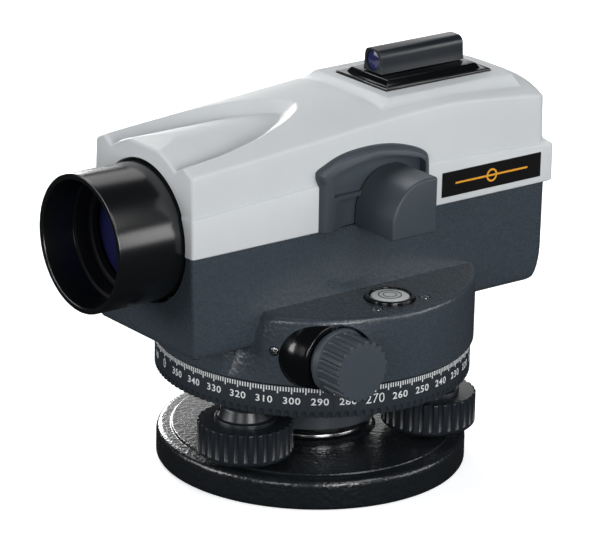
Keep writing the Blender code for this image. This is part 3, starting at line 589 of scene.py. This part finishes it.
def makeHousing():
    h = housing
    rows = []
    for z, front, rear, half in h["sections"]:
        outline = softCorners([(-half, front, 1.5), (half, front, 1.5), (half, rear, 4.6),
                               (-half, rear, 4.6)], 8)
        rows.append([(x, y, z) for x, y in outline])
    body = skin("housingBody", rows)

    drumProfile = softCorners([(2, h["drumLow"]), (h["drum"], h["drumLow"], 0.5),
                               (h["drum"], 62), (h["drum"] - 0.15, h["ledge"], 2.0), (2, h["ledge"])], 6)
    drum = turnOnLathe("drum", drumProfile, steps=240)
    # a soft facet where the drum meets the body at the front, on both sides
    for vertex in drum.data.vertices:
        x, y, z = vertex.co / mm
        inset = h["drum"] - math.hypot(x, y)
        if abs(x) > 20 and y < -30 and inset < 6:
            facet = -47.6 + (z - 58) / 3.0 + max(inset, 0) * 0.8
            if y < facet:
                vertex.co.y = facet * mm
    shape(body, drum, "UNION")

    at = (0, h["driveY"], h["driveZ"])
    for side in (1, -1):
        low, high = sorted((side * h["bossEnd"], side * 80))
        shape(body, rod("pocket", h["pocket"], low, high, at, "X"))
    shape(body, rod("drumRoom", h["drum"] - 3, 40, 61, steps=160))
    shape(body, slab("trough", (-25.6, -68.4, 64), (25.6, 77.4, 100)))
    boss = turnOnLathe("bearing", [(11.8, 61.2), (14.6, 61.2), (14.6, 69.6), (11.8, 69.6)], loop=True)
    shape(body, rod("bearingHole", 14.2, 50, 66))
    shape(body, boss, "UNION")
    shape(body, rod("mouth", 24.9, -80, -60, (0, 0, 95.8), "Y", 128))
    shape(body, rod("eyeHole", 15.5, 70, 90, (0, 0, 95.8), "Y"))
    shape(body, rod("driveHole", 5.8, -60, 60, at, "X", 48))
    shape(body, rod("focusHole", 2.8, -40, -20, (0, -12, 86), "X", 48))
    vial = placeOf("vial_housing")
    shape(body, rod("vialHole", 8.9, 55, 80, (vial.x, vial.y, 0), "Z", 96))
    for node in ("vial_screw_front", "vial_screw_rear"):
        spot = placeOf(node)
        shape(body, rod("screwHole", 2.0, 60, 80, (spot.x, spot.y, 0), "Z", 32))
    spot = placeOf("set_screw")
    hole = rod("setHole", 1.75, 40, 70, (0, 0, 57.5), "X", 32)
    hole.rotation_euler = (0, 0, math.atan2(spot.y, spot.x))
    shape(body, hole)
    finishPiece(body, "housingCasting", "alidade", slateHammer, ["lower_housing"], 34)
    print("housing:", len(body.data.polygons), "faces")

    for side, name in ((1, "driveBossLeft"), (-1, "driveBossRight")):
        profile = softCorners([(6.2, 31), (14.3, 31), (14.7, 36, 2), (14.7, 39.6, 2), (14.1, 42.2, 1),
                               (13.0, 44.8, 1),
                               (12.2, 46.8, 0.8), (11.7, h["bossEnd"], 0.3), (6.2, h["bossEnd"])], 5)
        boss = turnOnLathe(name, [(r, side * x) for r, x in profile], at, "X", loop=True)
        shape(boss, slab("under", (-90, -90, 20), (90, 90, h["drumLow"] + 0.3)))
        shape(boss, slab("over", (-90, -90, h["ledge"] - 0.4), (90, 90, 90)))
        shape(boss, rod("driveHole", 5.8, -60, 60, at, "X", 48))
        finishPiece(boss, name, "alidade", glossBlack, smoothTo=30)


makeHousing()


ring = {"radius": 55.0, "low": 34.1, "top": 45.0, "zeroAt": 255.05, "notches": 120,
        "tickWidth": 0.42, "figureLow": 38.75, "figureHigh": 2.9}


def degreeMarks(name, count, low, high):
    # one raised mark, spun round the circle
    r = ring["radius"]
    first = math.radians(ring["zeroAt"])
    deselectAll()
    bpy.ops.mesh.primitive_cube_add(size=1, location=(r * mm, 0, (low + high) / 2 * mm))
    piece = bpy.context.object
    piece.scale = (0.08 * mm, ring["tickWidth"] * mm, (high - low) * mm)
    bpy.ops.object.transform_apply(location=True, rotation=True, scale=True)
    piece.rotation_euler = (0, 0, first)
    bpy.ops.object.transform_apply(location=True, rotation=True, scale=True)
    copiesAround(piece, count, (0, 0, 0), (0, 0, 1))
    piece.name = name
    return piece


def figure(number, tall):
    # figures stand on the ring, bent to its curve
    r = ring["radius"]
    deselectAll()
    bpy.ops.object.text_add(location=(0, 0, 0))
    words = bpy.context.object
    words.data.body = str(number)
    words.data.align_x = "CENTER"
    words.data.size = ring["figureHigh"] * (1.68 if tall else 1.17) * mm
    words.data.space_character = 1.0 if tall else 1.12
    words.data.offset = (-0.035 if tall else 0.04) * mm
    words.data.extrude = 0.05 * mm
    words.data.resolution_u = 5
    bpy.ops.object.convert(target="MESH")
    words = bpy.context.object
    place = math.radians(ring["zeroAt"] - number)
    low = ring["figureLow"] - (0.3 if tall else 0)
    for vertex in words.data.vertices:
        angle = place + vertex.co.x * (0.98 if tall else 1.12) / (r * mm)
        reach = (r - 0.02) * mm + vertex.co.z
        vertex.co = (reach * math.cos(angle), reach * math.sin(angle), low * mm + vertex.co.y)
    return words


def makeCircle():
    r, low, top = ring["radius"], ring["low"], ring["top"]
    profile = softCorners([(14.4, 38.2), (50.2, 38.2), (50.6, low), (r, low, 0.3), (r, top, 0.35),
                           (51.6, top, 0.4), (50.8, 41), (14.4, 41)], 3)
    piece = turnOnLathe("ringBody", profile, steps=240, loop=True)
    notch = turnOnLathe("notch", [(0.86, low - 2), (0.86, 35.6), (0.74, 36.05), (0.45, 36.35), (0.12, 36.45)],
                        (r + 0.12, 0, 0), steps=14)
    notch.rotation_euler = (0, 0, math.radians(ring["zeroAt"] + 1.5))
    pick(notch)
    bpy.ops.object.transform_apply(location=True, rotation=True, scale=True)
    copiesAround(notch, ring["notches"], (0, 0, 0), (0, 0, 1))
    shape(piece, notch)
    finishPiece(piece, "circleRing", "circle", ringBlack, ["horizontal_circle"], 40)
    short = degreeMarks("shortMarks", 360, 43.2, 44.75)
    long = degreeMarks("longMarks", 72, 42.35, 43.2)
    figures = [figure(number, number % 90 == 0) for number in range(0, 360, 10)]
    marks = merge(short, long, *figures)
    finishPiece(marks, "scaleMarks", "circle", whiteFill, smoothTo=40)
    print("circle:", len(piece.data.polygons), "and", len(marks.data.polygons), "faces")


makeCircle()


foot = {"knob": 16.5, "low": 13.3, "top": 25.3, "flutes": 30}


def makeFootPlate():
    profile = softCorners([(8.6, 0), (53.5, 0, 0.5), (54.2, 1.0, 0.4), (54.2, 10.6, 4.6), (49.2, 10.7, 0.3),
                           (48.8, 11.4, 0.35), (22.6, 11.4, 0.5), (21.6, 12.2, 0.4), (7.94, 12.2, 0.4),
                           (7.94, 1.0)], 6)
    plate = turnOnLathe("footPlate", profile, steps=240, loop=True)
    for number in (1, 2, 3):
        spot = placeOf(f"foot_stem_{number}")
        shape(plate, turnOnLathe("seat", softCorners([(4.6, 8.2, 0.8), (4.6, 10.9), (5.4, 12.6)], 4),
                                 (spot.x, spot.y, 0), steps=64))
    finishPiece(plate, "footPlate", "base", blackHammer, ["base_plate"], 34)


def makeFootScrew(number):
    spot = placeOf(f"foot_stem_{number}")
    at = (spot.x, spot.y, 0)
    body = f"foot_{number}"
    r, low, top = foot["knob"], foot["low"], foot["top"]
    profile = softCorners([(3.9, low), (r - 1.2, low, 0.4), (r, low + 1.1, 0.5), (r, top, 0.5), (3.9, top)], 4)
    knob = turnOnLathe("footKnob", profile, at, steps=180, loop=True)
    groove = turnOnLathe("groove", [(0.15, low + 1.5), (0.7, low + 1.65), (1.08, low + 2.3), (1.08, top + 2)],
                         (r + 0.12, 0, 0), steps=16)
    copiesAround(groove, foot["flutes"], (0, 0, 0), (0, 0, 1))
    groove.location = Vector(at) * mm
    shape(knob, groove)
    finishPiece(knob, f"footScrewKnob{number}", body, darkNylon, [f"foot_knob_{number}"], 38)
    profile = softCorners([(3.9, top), (10.6, top), (10.6, top + 1.3, 0.4), (9.3, top + 1.3, 0.5),
                           (8.3, 30.4, 0.5), (7.6, 31.2, 0.4), (3.9, 31.2)], 4)
    neck = turnOnLathe("footNeck", profile, at, steps=96, loop=True)
    finishPiece(neck, f"footScrewNeck{number}", body, darkNylon, [f"foot_sleeve_{number}"], 38)


def makeHead():
    profile = softCorners([(10.3, 20), (19, 20), (19, 17, 0.4), (23.4, 17, 0.6), (23.4, 33.2, 0.6),
                           (48.6, 33.2, 0.5), (48.6, 37, 0.4), (10.3, 37)], 4)
    head = turnOnLathe("head", profile, steps=160, loop=True)
    for number in (1, 2, 3):
        spot = placeOf(f"foot_stem_{number}")
        shape(head, rod("stemHole", 5.2, 28, 42, (spot.x, spot.y, 0), "Z", 64))
    finishPiece(head, "levellingPlate", "head", castMetal, ["levelling_head"], 34)
    profile = softCorners([(9.4, 13.2), (21, 13.2, 0.3), (21, 14.4, 0.3), (9.4, 14.4)], 3)
    spring = turnOnLathe("springDisc", profile, steps=128, loop=True)
    finishPiece(spring, "springDisc", "spring", brightSteel, ["spring_plate"], 34)


makeFootPlate()
for number in (1, 2, 3):
    makeFootScrew(number)
makeHead()
print("foot ready")


driveKnob = {"radius": 10.6, "collar": 11.5, "end": 63.0, "wall": 2.6, "flutes": 20}


def makeDriveKnob(side, name, node):
    at = (0, housing["driveY"], housing["driveZ"])
    r = driveKnob["radius"]
    end, inner = driveKnob["end"], driveKnob["end"] - driveKnob["wall"]
    profile = softCorners([(2.8, 48.0), (10.2, 48.0, 0.3), (10.4, 49.6, 0.3), (driveKnob["collar"], 50.0, 0.5),
                           (11.4, 51.2, 0.6), (r, 51.9, 0.4), (r, end, 0.45), (0.05, end), (0.05, inner),
                           (2.8, inner)], 5)
    knob = turnOnLathe(name, [(radius, side * x) for radius, x in profile], at, "X", steps=200, loop=True)
    groove = turnOnLathe("groove", [(0.14, 52.5), (0.6, 52.65), (0.92, 53.1), (1.05, 53.8), (1.05, end + 1)],
                         (r + 0.12, 0, 0), "Z", 16)
    copiesAround(groove, driveKnob["flutes"], (0, 0, 0), (0, 0, 1))
    groove.rotation_euler = (0, side * math.pi / 2, 0)
    groove.location = Vector(at) * mm
    shape(knob, groove)
    finishPiece(knob, name, "drive", slateNylon, [node], 38)


makeDriveKnob(1, "slowMotionKnobLeft", "drive_knob_left")
makeDriveKnob(-1, "slowMotionKnobRight", "drive_knob_right")


def makeFocusKnob():
    at = (0, -12, 86)
    profile = softCorners([(2.8, -31.4), (12.4, -31.4, 0.4), (13.4, -33.2, 0.6), (13.4, -34.6, 0.5),
                           (12.9, -35.2, 0.4), (12.6, -48.6, 1.2), (0.4, -48.6), (0.4, -45.4), (2.8, -45.4)], 5)
    knob = turnOnLathe("focusKnob", profile, at, "X", steps=200, loop=True)
    groove = turnOnLathe("groove", [(0.12, 36.2), (0.6, 36.4), (1.0, 37.2), (1.0, 45.2), (0.6, 46.0),
                                    (0.12, 46.2)], (12.95, 0, 0), "Z", 14)
    copiesAround(groove, 24, (0, 0, 0), (0, 0, 1))
    groove.rotation_euler = (0, -math.pi / 2, 0)
    groove.location = Vector(at) * mm
    shape(knob, groove)
    finishPiece(knob, "focusingKnob", "focus", slateNylon, ["focus_knob"], 38)


makeFocusKnob()
print("knobs ready")


barrel = {"axis": (0, 0, 95.8), "radius": 23.7, "front": -98.5, "rear": -18.0, "step": -86.4}


def makeBarrel():
    b = barrel
    profile = softCorners([(21.6, b["front"], 0.5), (b["radius"], b["front"], 0.5),
                           (b["radius"], b["rear"], 0.4),
                           (20.1, b["rear"], 0.3), (20.1, b["step"], 0.3), (21.3, b["step"], 0.3)], 5)
    tube = turnOnLathe("barrel", profile, b["axis"], "Y", 200, loop=True)
    finishPiece(tube, "barrelTube", "alidade", blackAnodised, ["objective_tube"], 34)
    tube.data.materials.append(mattBlack)
    for face in tube.data.polygons:
        spot = face.center / mm - Vector(b["axis"])
        if math.hypot(spot.x, spot.z) < 21.25 and spot.y > b["front"] + 1.2:
            face.material_index = 1
    profile = softCorners([(17.6, -79.0), (17.6, -81.5, 0.5), (19.8, -81.5, 0.3), (19.8, -79.0)], 4)
    holder = turnOnLathe("lensRing", profile, b["axis"], "Y", 160, loop=True)
    finishPiece(holder, "lensRing", "alidade", mattBlack, ["retaining_ring"], 34)
    half = 19.8
    domed = [(0.3, -79.8)] + [(r, -79.8 + 2.4 * (r / half) ** 2) for r in range(2, 20, 2)] + [(half, -77.3)]
    domed += [(half, -75.0)] + [(r, -75.0 + 1.8 * (1 - (r / half) ** 2)) for r in range(18, 1, -2)]
    domed += [(0.3, -73.2)]
    lens = turnOnLathe("frontLens", domed, b["axis"], "Y", 160)
    finishPiece(lens, "frontLens", "alidade", objectiveGlass, ["objective_crown"], 50)


def makeEyepiece():
    b = barrel
    profile = softCorners([(12.4, 64), (15.1, 64, 0.3), (15.1, 83.1), (21.0, 83.1, 0.5), (21.0, 86.6, 0.9),
                           (19.4, 87.0, 0.3), (12.4, 87.0)], 4)
    holder = turnOnLathe("eyeHolder", profile, b["axis"], "Y", 160, loop=True)
    finishPiece(holder, "eyepieceHolder", "alidade", blackAnodised, ["eyepiece_holder"], 34)
    profile = softCorners([(12.1, 70), (12.1, 87.3), (12.6, 87.3, 0.2), (12.9, 88.0, 0.3), (12.9, 91.0, 0.3),
                           (12.4, 91.6, 0.3), (10.6, 91.6, 0.3), (10.6, 70)], 4)
    grip = turnOnLathe("grip", profile, b["axis"], "Y", 192, loop=True)
    groove = turnOnLathe("groove", [(0.1, 88.0), (0.4, 88.15), (0.55, 88.5), (0.55, 95)], (13.1, 0, 0), "Z", 12)
    copiesAround(groove, 48, (0, 0, 0), (0, 0, 1))
    groove.rotation_euler = (-math.pi / 2, 0, 0)
    groove.location = Vector(b["axis"]) * mm
    shape(grip, groove)
    finishPiece(grip, "dioptreGrip", "dioptre", slateNylon, ["dioptre_ring"], 38)
    cup = turnOnLathe("cup", softCorners([(8.2, 91.9), (11.4, 91.9, 0.4), (9.7, 95.0, 0.5), (8.9, 95.0, 0.3),
                      (8.2, 93.4, 0.4)], 5), b["axis"], "Y", 160, loop=True)
    finishPiece(cup, "rubberEyecup", "dioptre", softRubber, ["eyecup"], 34)
    domed = [(0.3, 84.6), (4, 84.8), (8.0, 85.6), (8.0, 88.4)]
    domed += [(r, 88.4 + 1.0 * (1 - (r / 8) ** 2)) for r in (7, 6, 5, 4, 3, 2, 1)]
    lens = turnOnLathe("eyeGlass", domed, b["axis"], "Y", 96)
    finishPiece(lens, "eyeGlass", "eye_slide", objectiveGlass, ["eye_lens"], 50)


makeBarrel()
makeEyepiece()
print("telescope ready")


hood = {"face": 30.9, "start": 27.9, "end": 49.0, "wall": 1.8, "floor": 27.6}


def hoodOutline(inset):
    # a quarter round over the mirror, straight behind and below
    curve = [(13.6, 112.2), (8.6, 112.2), (4.9, 111.6), (1.2, 110.0), (-1.9, 107.0), (-3.9, 103.7),
             (-5.0, 100.4), (-5.3, 97.0)]
    across, upward = (list(enumerate(point[axis] for point in curve)) for axis in (0, 1))
    smooth = []
    for index in range(len(curve) - 1):
        for step in range(4):
            t = index + step / 4
            smooth.append((easeThrough(across, t), easeThrough(upward, t)))
    outer = [*smooth, (-5.3, 97.0), (-5.3, 92.6), (13.6, 92.6)]
    if not inset:
        return outer
    shrunk = []
    for index, here in enumerate(outer[:-2]):
        before = outer[index - 1] if index else (here[0] + 1, here[1])
        after = outer[index + 1]
        along = Vector((after[0] - before[0], after[1] - before[1])).normalized()
        shrunk.append((here[0] - along.y * inset, here[1] + along.x * inset))
    return [(16, shrunk[0][1]), *shrunk, (shrunk[-1][0], 90), (16, 90)]


def makeHood():
    wall, face = 27.1, hood["face"]
    # the outline at the wall, and its front face drawn in by a broad chamfer
    edge = [(-21.3, 93.4, 0.3), (25.8, 93.4, 0.3), (25.8, 107.0, 1), (25.4, 112.2, 1.0), (24.7, 113.7, 1.0),
            (22.2, 115.5, 2), (17.7, 117.3, 4), (11.1, 119.1, 6), (3.5, 120.0, 6), (-5.0, 119.9, 6),
            (-13.0, 118.8, 6), (-21.2, 115.3, 1), (-22.4, 114.4, 0.6), (-22.4, 112.2, 0.8), (-21.4, 110.2, 0.8)]
    brow = [(-19.3, 93.4, 0.3), (23.8, 93.4, 0.3), (23.8, 107.0, 1), (23.5, 111.4, 1.0), (23.0, 112.4, 1.0),
            (21.2, 113.6, 2), (17.1, 115.4, 4), (10.7, 117.1, 6), (3.4, 118.0, 6), (-4.8, 117.9, 6),
            (-12.4, 116.9, 6), (-19.8, 114.0, 1), (-20.4, 113.3, 0.6), (-20.3, 112.4, 0.8), (-19.4, 110.4, 0.8)]
    outer, inner = softCorners(edge, 4), softCorners(brow, 4)
    rows = []
    for x, share in ((wall, 0), (face - 1.7, 0), (face - 1.2, 0.12), (face - 0.15, 0.85), (face, 1)):
        rows.append([(x, a[0] + (b[0] - a[0]) * share, a[1] + (b[1] - a[1]) * share)
                     for a, b in zip(outer, inner)])
    bezel = skin("bezel", rows)
    window = [point for point in windowOutline() if point[1] > 104.9]
    window += [(-16.2, 104.9), (23.0, 104.9)]
    shape(bezel, pushOutline("window", orderRound(window), hood["floor"], face + 1, "X"))
    # below the ridge the face slopes in behind the hood
    slope = [(face + 1, -17.6), (face + 0.02, -17.6), (29.3, -13.0), (27.8, -8.5), (hood["floor"], 23.0),
             (face + 1, 23.0)]
    shape(bezel, pushOutline("slope", slope, 90, 103.5, "Z"))
    ridge = [(face + 1, -16.6), (face - 0.05, -16.6), (29.7, -12.5), (29.3, -4), (29.3, 23.0), (face + 1, 23.0)]
    shape(bezel, pushOutline("ridgeTop", ridge, 103.4, 105.1, "Z"))
    finishPiece(bezel, "bubbleBezel", "alidade", slateNylon, ["prism_bezel"], 34)
    shell = pushOutline("hoodShell", hoodOutline(0), hood["start"], hood["end"], "X")
    softEdges(shell, 0.9, 4, 40)
    shape(shell, pushOutline("hoodRoom", hoodOutline(hood["wall"]), hood["start"] - 1, hood["end"] - 1.8, "X"))
    finishPiece(shell, "bubbleHood", "alidade", slateNylon, ["prism_hood"], 34)


makeHood()


sight = {"low": 131.9, "plateTop": 133.2, "stepTop": 134.9, "front": 23.4, "rear": 60.0, "half": 5.0,
         "top": 143.5, "lensZ": 139.3}


def makeSight():
    s = sight
    plate = slab("sightPlate", (-14, 18.5, s["low"]), (14, 65, s["plateTop"]))
    softEdges(plate, 0.25, 2)
    step = slab("sightStep", (-11.6, 20.6, 132.6), (11.6, 62.8, s["stepTop"]))
    for vertex in step.data.vertices:
        if vertex.co.z > 134 * mm:
            vertex.co.x *= 0.88
            vertex.co.y += (1.4 if vertex.co.y < 40 * mm else -1.4) * mm
    softEdges(step, 0.3, 2)
    shape(plate, step, "UNION")
    finishPiece(plate, "sightPlate", "alidade", glossBlack, ["sight_base"], 34)
    top = s["top"]
    half = s["half"]
    bottom = s["stepTop"] + 0.3
    outline = softCorners([(-half, bottom, 0.2), (half, bottom, 0.2), (half * 0.93, 137.6, 2),
                           (half * 0.86, top, 3.9), (-half * 0.86, top, 3.9), (-half * 0.93, 137.6, 2)], 8)
    house = pushOutline("sightHouse", outline, s["front"], s["rear"], "Y")
    softEdges(house, 0.35, 3, 50)
    shape(house, rod("sightBore", 3.6, s["front"] - 5, s["rear"] + 5, (0, 0, s["lensZ"]), "Y", 64))
    finishPiece(house, "sightHouse", "alidade", darkNylon, ["sight_housing"], 30)
    for node, low, high, side in (("sight_lens_front", s["front"] + 0.3, s["front"] + 2.6, -1),
                                  ("sight_lens_rear", s["rear"] - 2.6, s["rear"] - 0.3, 1)):
        lens = turnOnLathe(node + "Glass", [(0.2, low), (3.0, low + 0.1), (3.5, low + 0.4), (3.5, high - 0.4),
                                            (3.0, high - 0.1), (0.2, high)], (0, 0, s["lensZ"]), "Y", 64)
        finishPiece(lens, node + "Glass", "alidade", sightGlass, [node], 50)


makeSight()


def makeBubble():
    vial = placeOf("vial_housing")
    at = (vial.x, vial.y, 0)
    profile = softCorners([(0.5, 60.0), (8.6, 60.0), (8.6, 70.6, 0.6), (7.2, 70.6, 0.3), (7.0, 64.0),
                           (0.5, 64.0)], 4)
    cup = turnOnLathe("vialCup", profile, at, "Z", 128, loop=True)
    finishPiece(cup, "vialCup", "alidade", glossBlack, ["vial_housing"], 34)
    disc = turnOnLathe("vialDisc", [(0.1, 64.3), (6.75, 64.3), (6.75, 69.9), (6.5, 70.25), (5.9, 70.4),
                                    (4, 70.5), (2, 70.55), (0.1, 70.55)], at, "Z", 128)
    finishPiece(disc, "vialDisc", "alidade", vialWhite, ["bubble_vial"], 50)
    rings = turnOnLathe("vialRings", [(3.75, 70.48), (3.75, 70.6), (4.05, 70.6), (4.05, 70.46)], at, "Z", 96,
                        loop=True)
    inner = turnOnLathe("vialInner", [(2.15, 70.5), (2.15, 70.62), (2.4, 70.62), (2.4, 70.5)], at, "Z", 64,
                        loop=True)
    finishPiece(merge(rings, inner), "vialRings", "alidade", mattBlack, smoothTo=34)


def makeScrew(name, node, radius, length, direction, head, slot):
    # cheese head with a saw-cut slot, set flush
    profile = softCorners([(0.2, -length), (radius, -length), (radius, 0, 0.35), (0.2, 0.12)], 4)
    screw = turnOnLathe(name, profile, steps=48)
    cut = slab("slot", (-radius * 1.2, -slot / 2, -0.7), (radius * 1.2, slot / 2, 1))
    shape(screw, cut)
    screw.rotation_euler = Vector((0, 0, 1)).rotation_difference(Vector(direction)).to_euler()
    screw.location = Vector(head) * mm
    finishPiece(screw, name, "alidade", brightSteel, [node], 34)


makeBubble()
for node, name in (("vial_screw_front", "bubbleScrewFront"), ("vial_screw_rear", "bubbleScrewRear")):
    spot = placeOf(node)
    makeScrew(name, node, 1.65, 6, (0, 0, 1), (spot.x, spot.y, 69.45), 0.5)
spot = placeOf("set_screw")
outward = Vector((spot.x, spot.y, 0)).normalized()
makeScrew("drumSetScrew", "set_screw", 1.4, 3, outward, outward * 55.9 + Vector((0, 0, 57.5)), 0.5)


def makeLabel():
    outline = softCorners([(32.0, 95.8, 0.3), (76.6, 95.8, 0.3), (76.6, 104.7, 0.3), (32.0, 104.7, 0.3)], 3)
    film = pushOutline("sideLabel", outline, 28.7, 29.1, "X")
    finishPiece(film, "sideLabel", "alidade", labelFilm, ["label_plate"], 34)
    # plain mark: a level line with a round bubble on it
    outline = softCorners([(38, 99.9, 0.2), (70.5, 99.9, 0.2), (70.5, 100.6, 0.2), (38, 100.6, 0.2)], 3)
    line = pushOutline("lineMark", outline, 29.05, 29.14, "X")
    circle = turnOnLathe("bubbleMark", [(1.7, 29.05), (2.4, 29.05), (2.4, 29.15), (1.7, 29.15)],
                         (0, 54.3, 100.25), "X", 48, loop=True)
    finishPiece(merge(line, circle), "amberMark", "alidade", amberInk, smoothTo=34)


makeLabel()
print("small pieces ready")

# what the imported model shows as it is
for nodeName, material in {
    "spindle": brightSteel, "spindle_nut": brassMetal, "axis_bush": brassMetal, "worm_wheel": brassMetal,
    "drive_shaft": brightSteel, "drive_worm": brassMetal, "drive_bush_left": brassMetal,
    "drive_bush_right": brassMetal, "foot_stem_1": brassMetal, "foot_stem_2": brassMetal,
    "foot_stem_3": brassMetal, "tube_seat": castMetal, "objective_flint": clearGlass,
    "compensator_frame": castMetal, "fixed_prism": clearGlass, "roof_prism": clearGlass,
    "damping_magnet": brightSteel, "reticle_cell": mattBlack, "reticle_glass": clearGlass,
    "focus_pinion": brightSteel, "focus_cell": mattBlack, "focus_lens": clearGlass, "pendulum": castMetal,
    "pendulum_prism": clearGlass, "eye_cell": brassMetal, "bubble_mirror": brightSteel,
}.items():
    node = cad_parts[nodeName]
    node.data.materials.clear()
    node.data.materials.append(material)


studio = {
    "floor": "#f6f7f8", "glow": 0.62,
    # soft boxes: direction round the level, height angle, side in metres, power in watts. The powers were
    # first fitted by least squares to the wanted tones, then rounded and trimmed
    "boxes": [(164, 12, 0.38, 7.1), (142, 12, 0.38, 0.6), (142, 45, 0.5, 0.95), (52, 12, 0.38, 1.9),
              (30, 12, 0.38, 1.5), (7, 45, 0.5, 2.8), (-15, 12, 0.38, 5.2), (-60, 12, 0.38, 2.1),
              (-105, 12, 0.38, 3.3), (-128, 12, 0.38, 1.8), (172, 54, 0.5, 3.4)],
    "boxAway": 1.1, "aim": (0, 0, 0.08),
    # camera: place in metres, then turn, height angle and roll in degrees
    "eye": (0.98771, -0.77330, 0.50678), "turn": 52.165, "lift": 19.348, "roll": 1.2732, "lens": 230.21,
}


def makeStudio():
    # a paper sweep: flat under the level, and turned up far behind it on every side
    profile = [(1, -0.2), (3200, -0.2), (3800, 150), (4200, 700), (4300, 2600)]
    sweep = turnOnLathe("studioFloor", profile, steps=96)
    paper = grainFinish("whitePaperSweep", "#f4f5f6", studio["floor"], 0.8, 6, 0.01,
                        {"Specular IOR Level": 0.1})
    glow = paper.node_tree.nodes["Principled BSDF"]
    glow.inputs["Emission Color"].default_value = toLinear(studio["floor"])
    glow.inputs["Emission Strength"].default_value = studio["glow"]
    sweep.data.materials.append(paper)
    # only the boxes light the level and show in its gloss
    sweep.visible_diffuse = sweep.visible_glossy = sweep.visible_transmission = False
    world = bpy.data.worlds.new("studio")
    bpy.context.scene.world = world
    world.use_nodes = True
    world.node_tree.nodes["Background"].inputs["Color"].default_value = toLinear("#f4f6f8")
    world.node_tree.nodes["Background"].inputs["Strength"].default_value = 0.02

    middle = Vector(studio["aim"])
    for turn, lift, side, power in studio["boxes"]:
        turn, lift = math.radians(turn), math.radians(lift)
        outward = Vector((math.cos(turn) * math.cos(lift), math.sin(turn) * math.cos(lift), math.sin(lift)))
        deselectAll()
        bpy.ops.object.light_add(type="AREA", location=middle + outward * studio["boxAway"])
        lamp = bpy.context.object
        lamp.data.shape = "SQUARE"
        lamp.data.size = side
        lamp.data.energy = power
        lamp.visible_camera = False
        lamp.rotation_euler = (-outward).to_track_quat("-Z", "Y").to_euler()

    eye = Vector(studio["eye"])
    turn, lift, roll = (math.radians(studio[key]) for key in ("turn", "lift", "roll"))
    back = Vector((math.sin(turn) * math.cos(lift), -math.cos(turn) * math.cos(lift), math.sin(lift)))
    flat = Vector((math.cos(turn), math.sin(turn), 0))
    up = back.cross(flat)
    right = flat * math.cos(roll) + up * math.sin(roll)
    up = up * math.cos(roll) - flat * math.sin(roll)
    bpy.ops.object.camera_add()
    camera = bpy.context.object
    camera.matrix_world = Matrix((
        (right.x, up.x, back.x, eye.x), (right.y, up.y, back.y, eye.y), (right.z, up.z, back.z, eye.z),
        (0, 0, 0, 1)))
    camera.data.lens = studio["lens"]
    camera.data.sensor_width = 36
    camera.data.clip_start = 0.01
    camera.data.clip_end = 20
    bpy.context.scene.camera = camera
    bpy.context.scene.view_settings.view_transform = "Standard"


makeStudio()
print("studio ready")
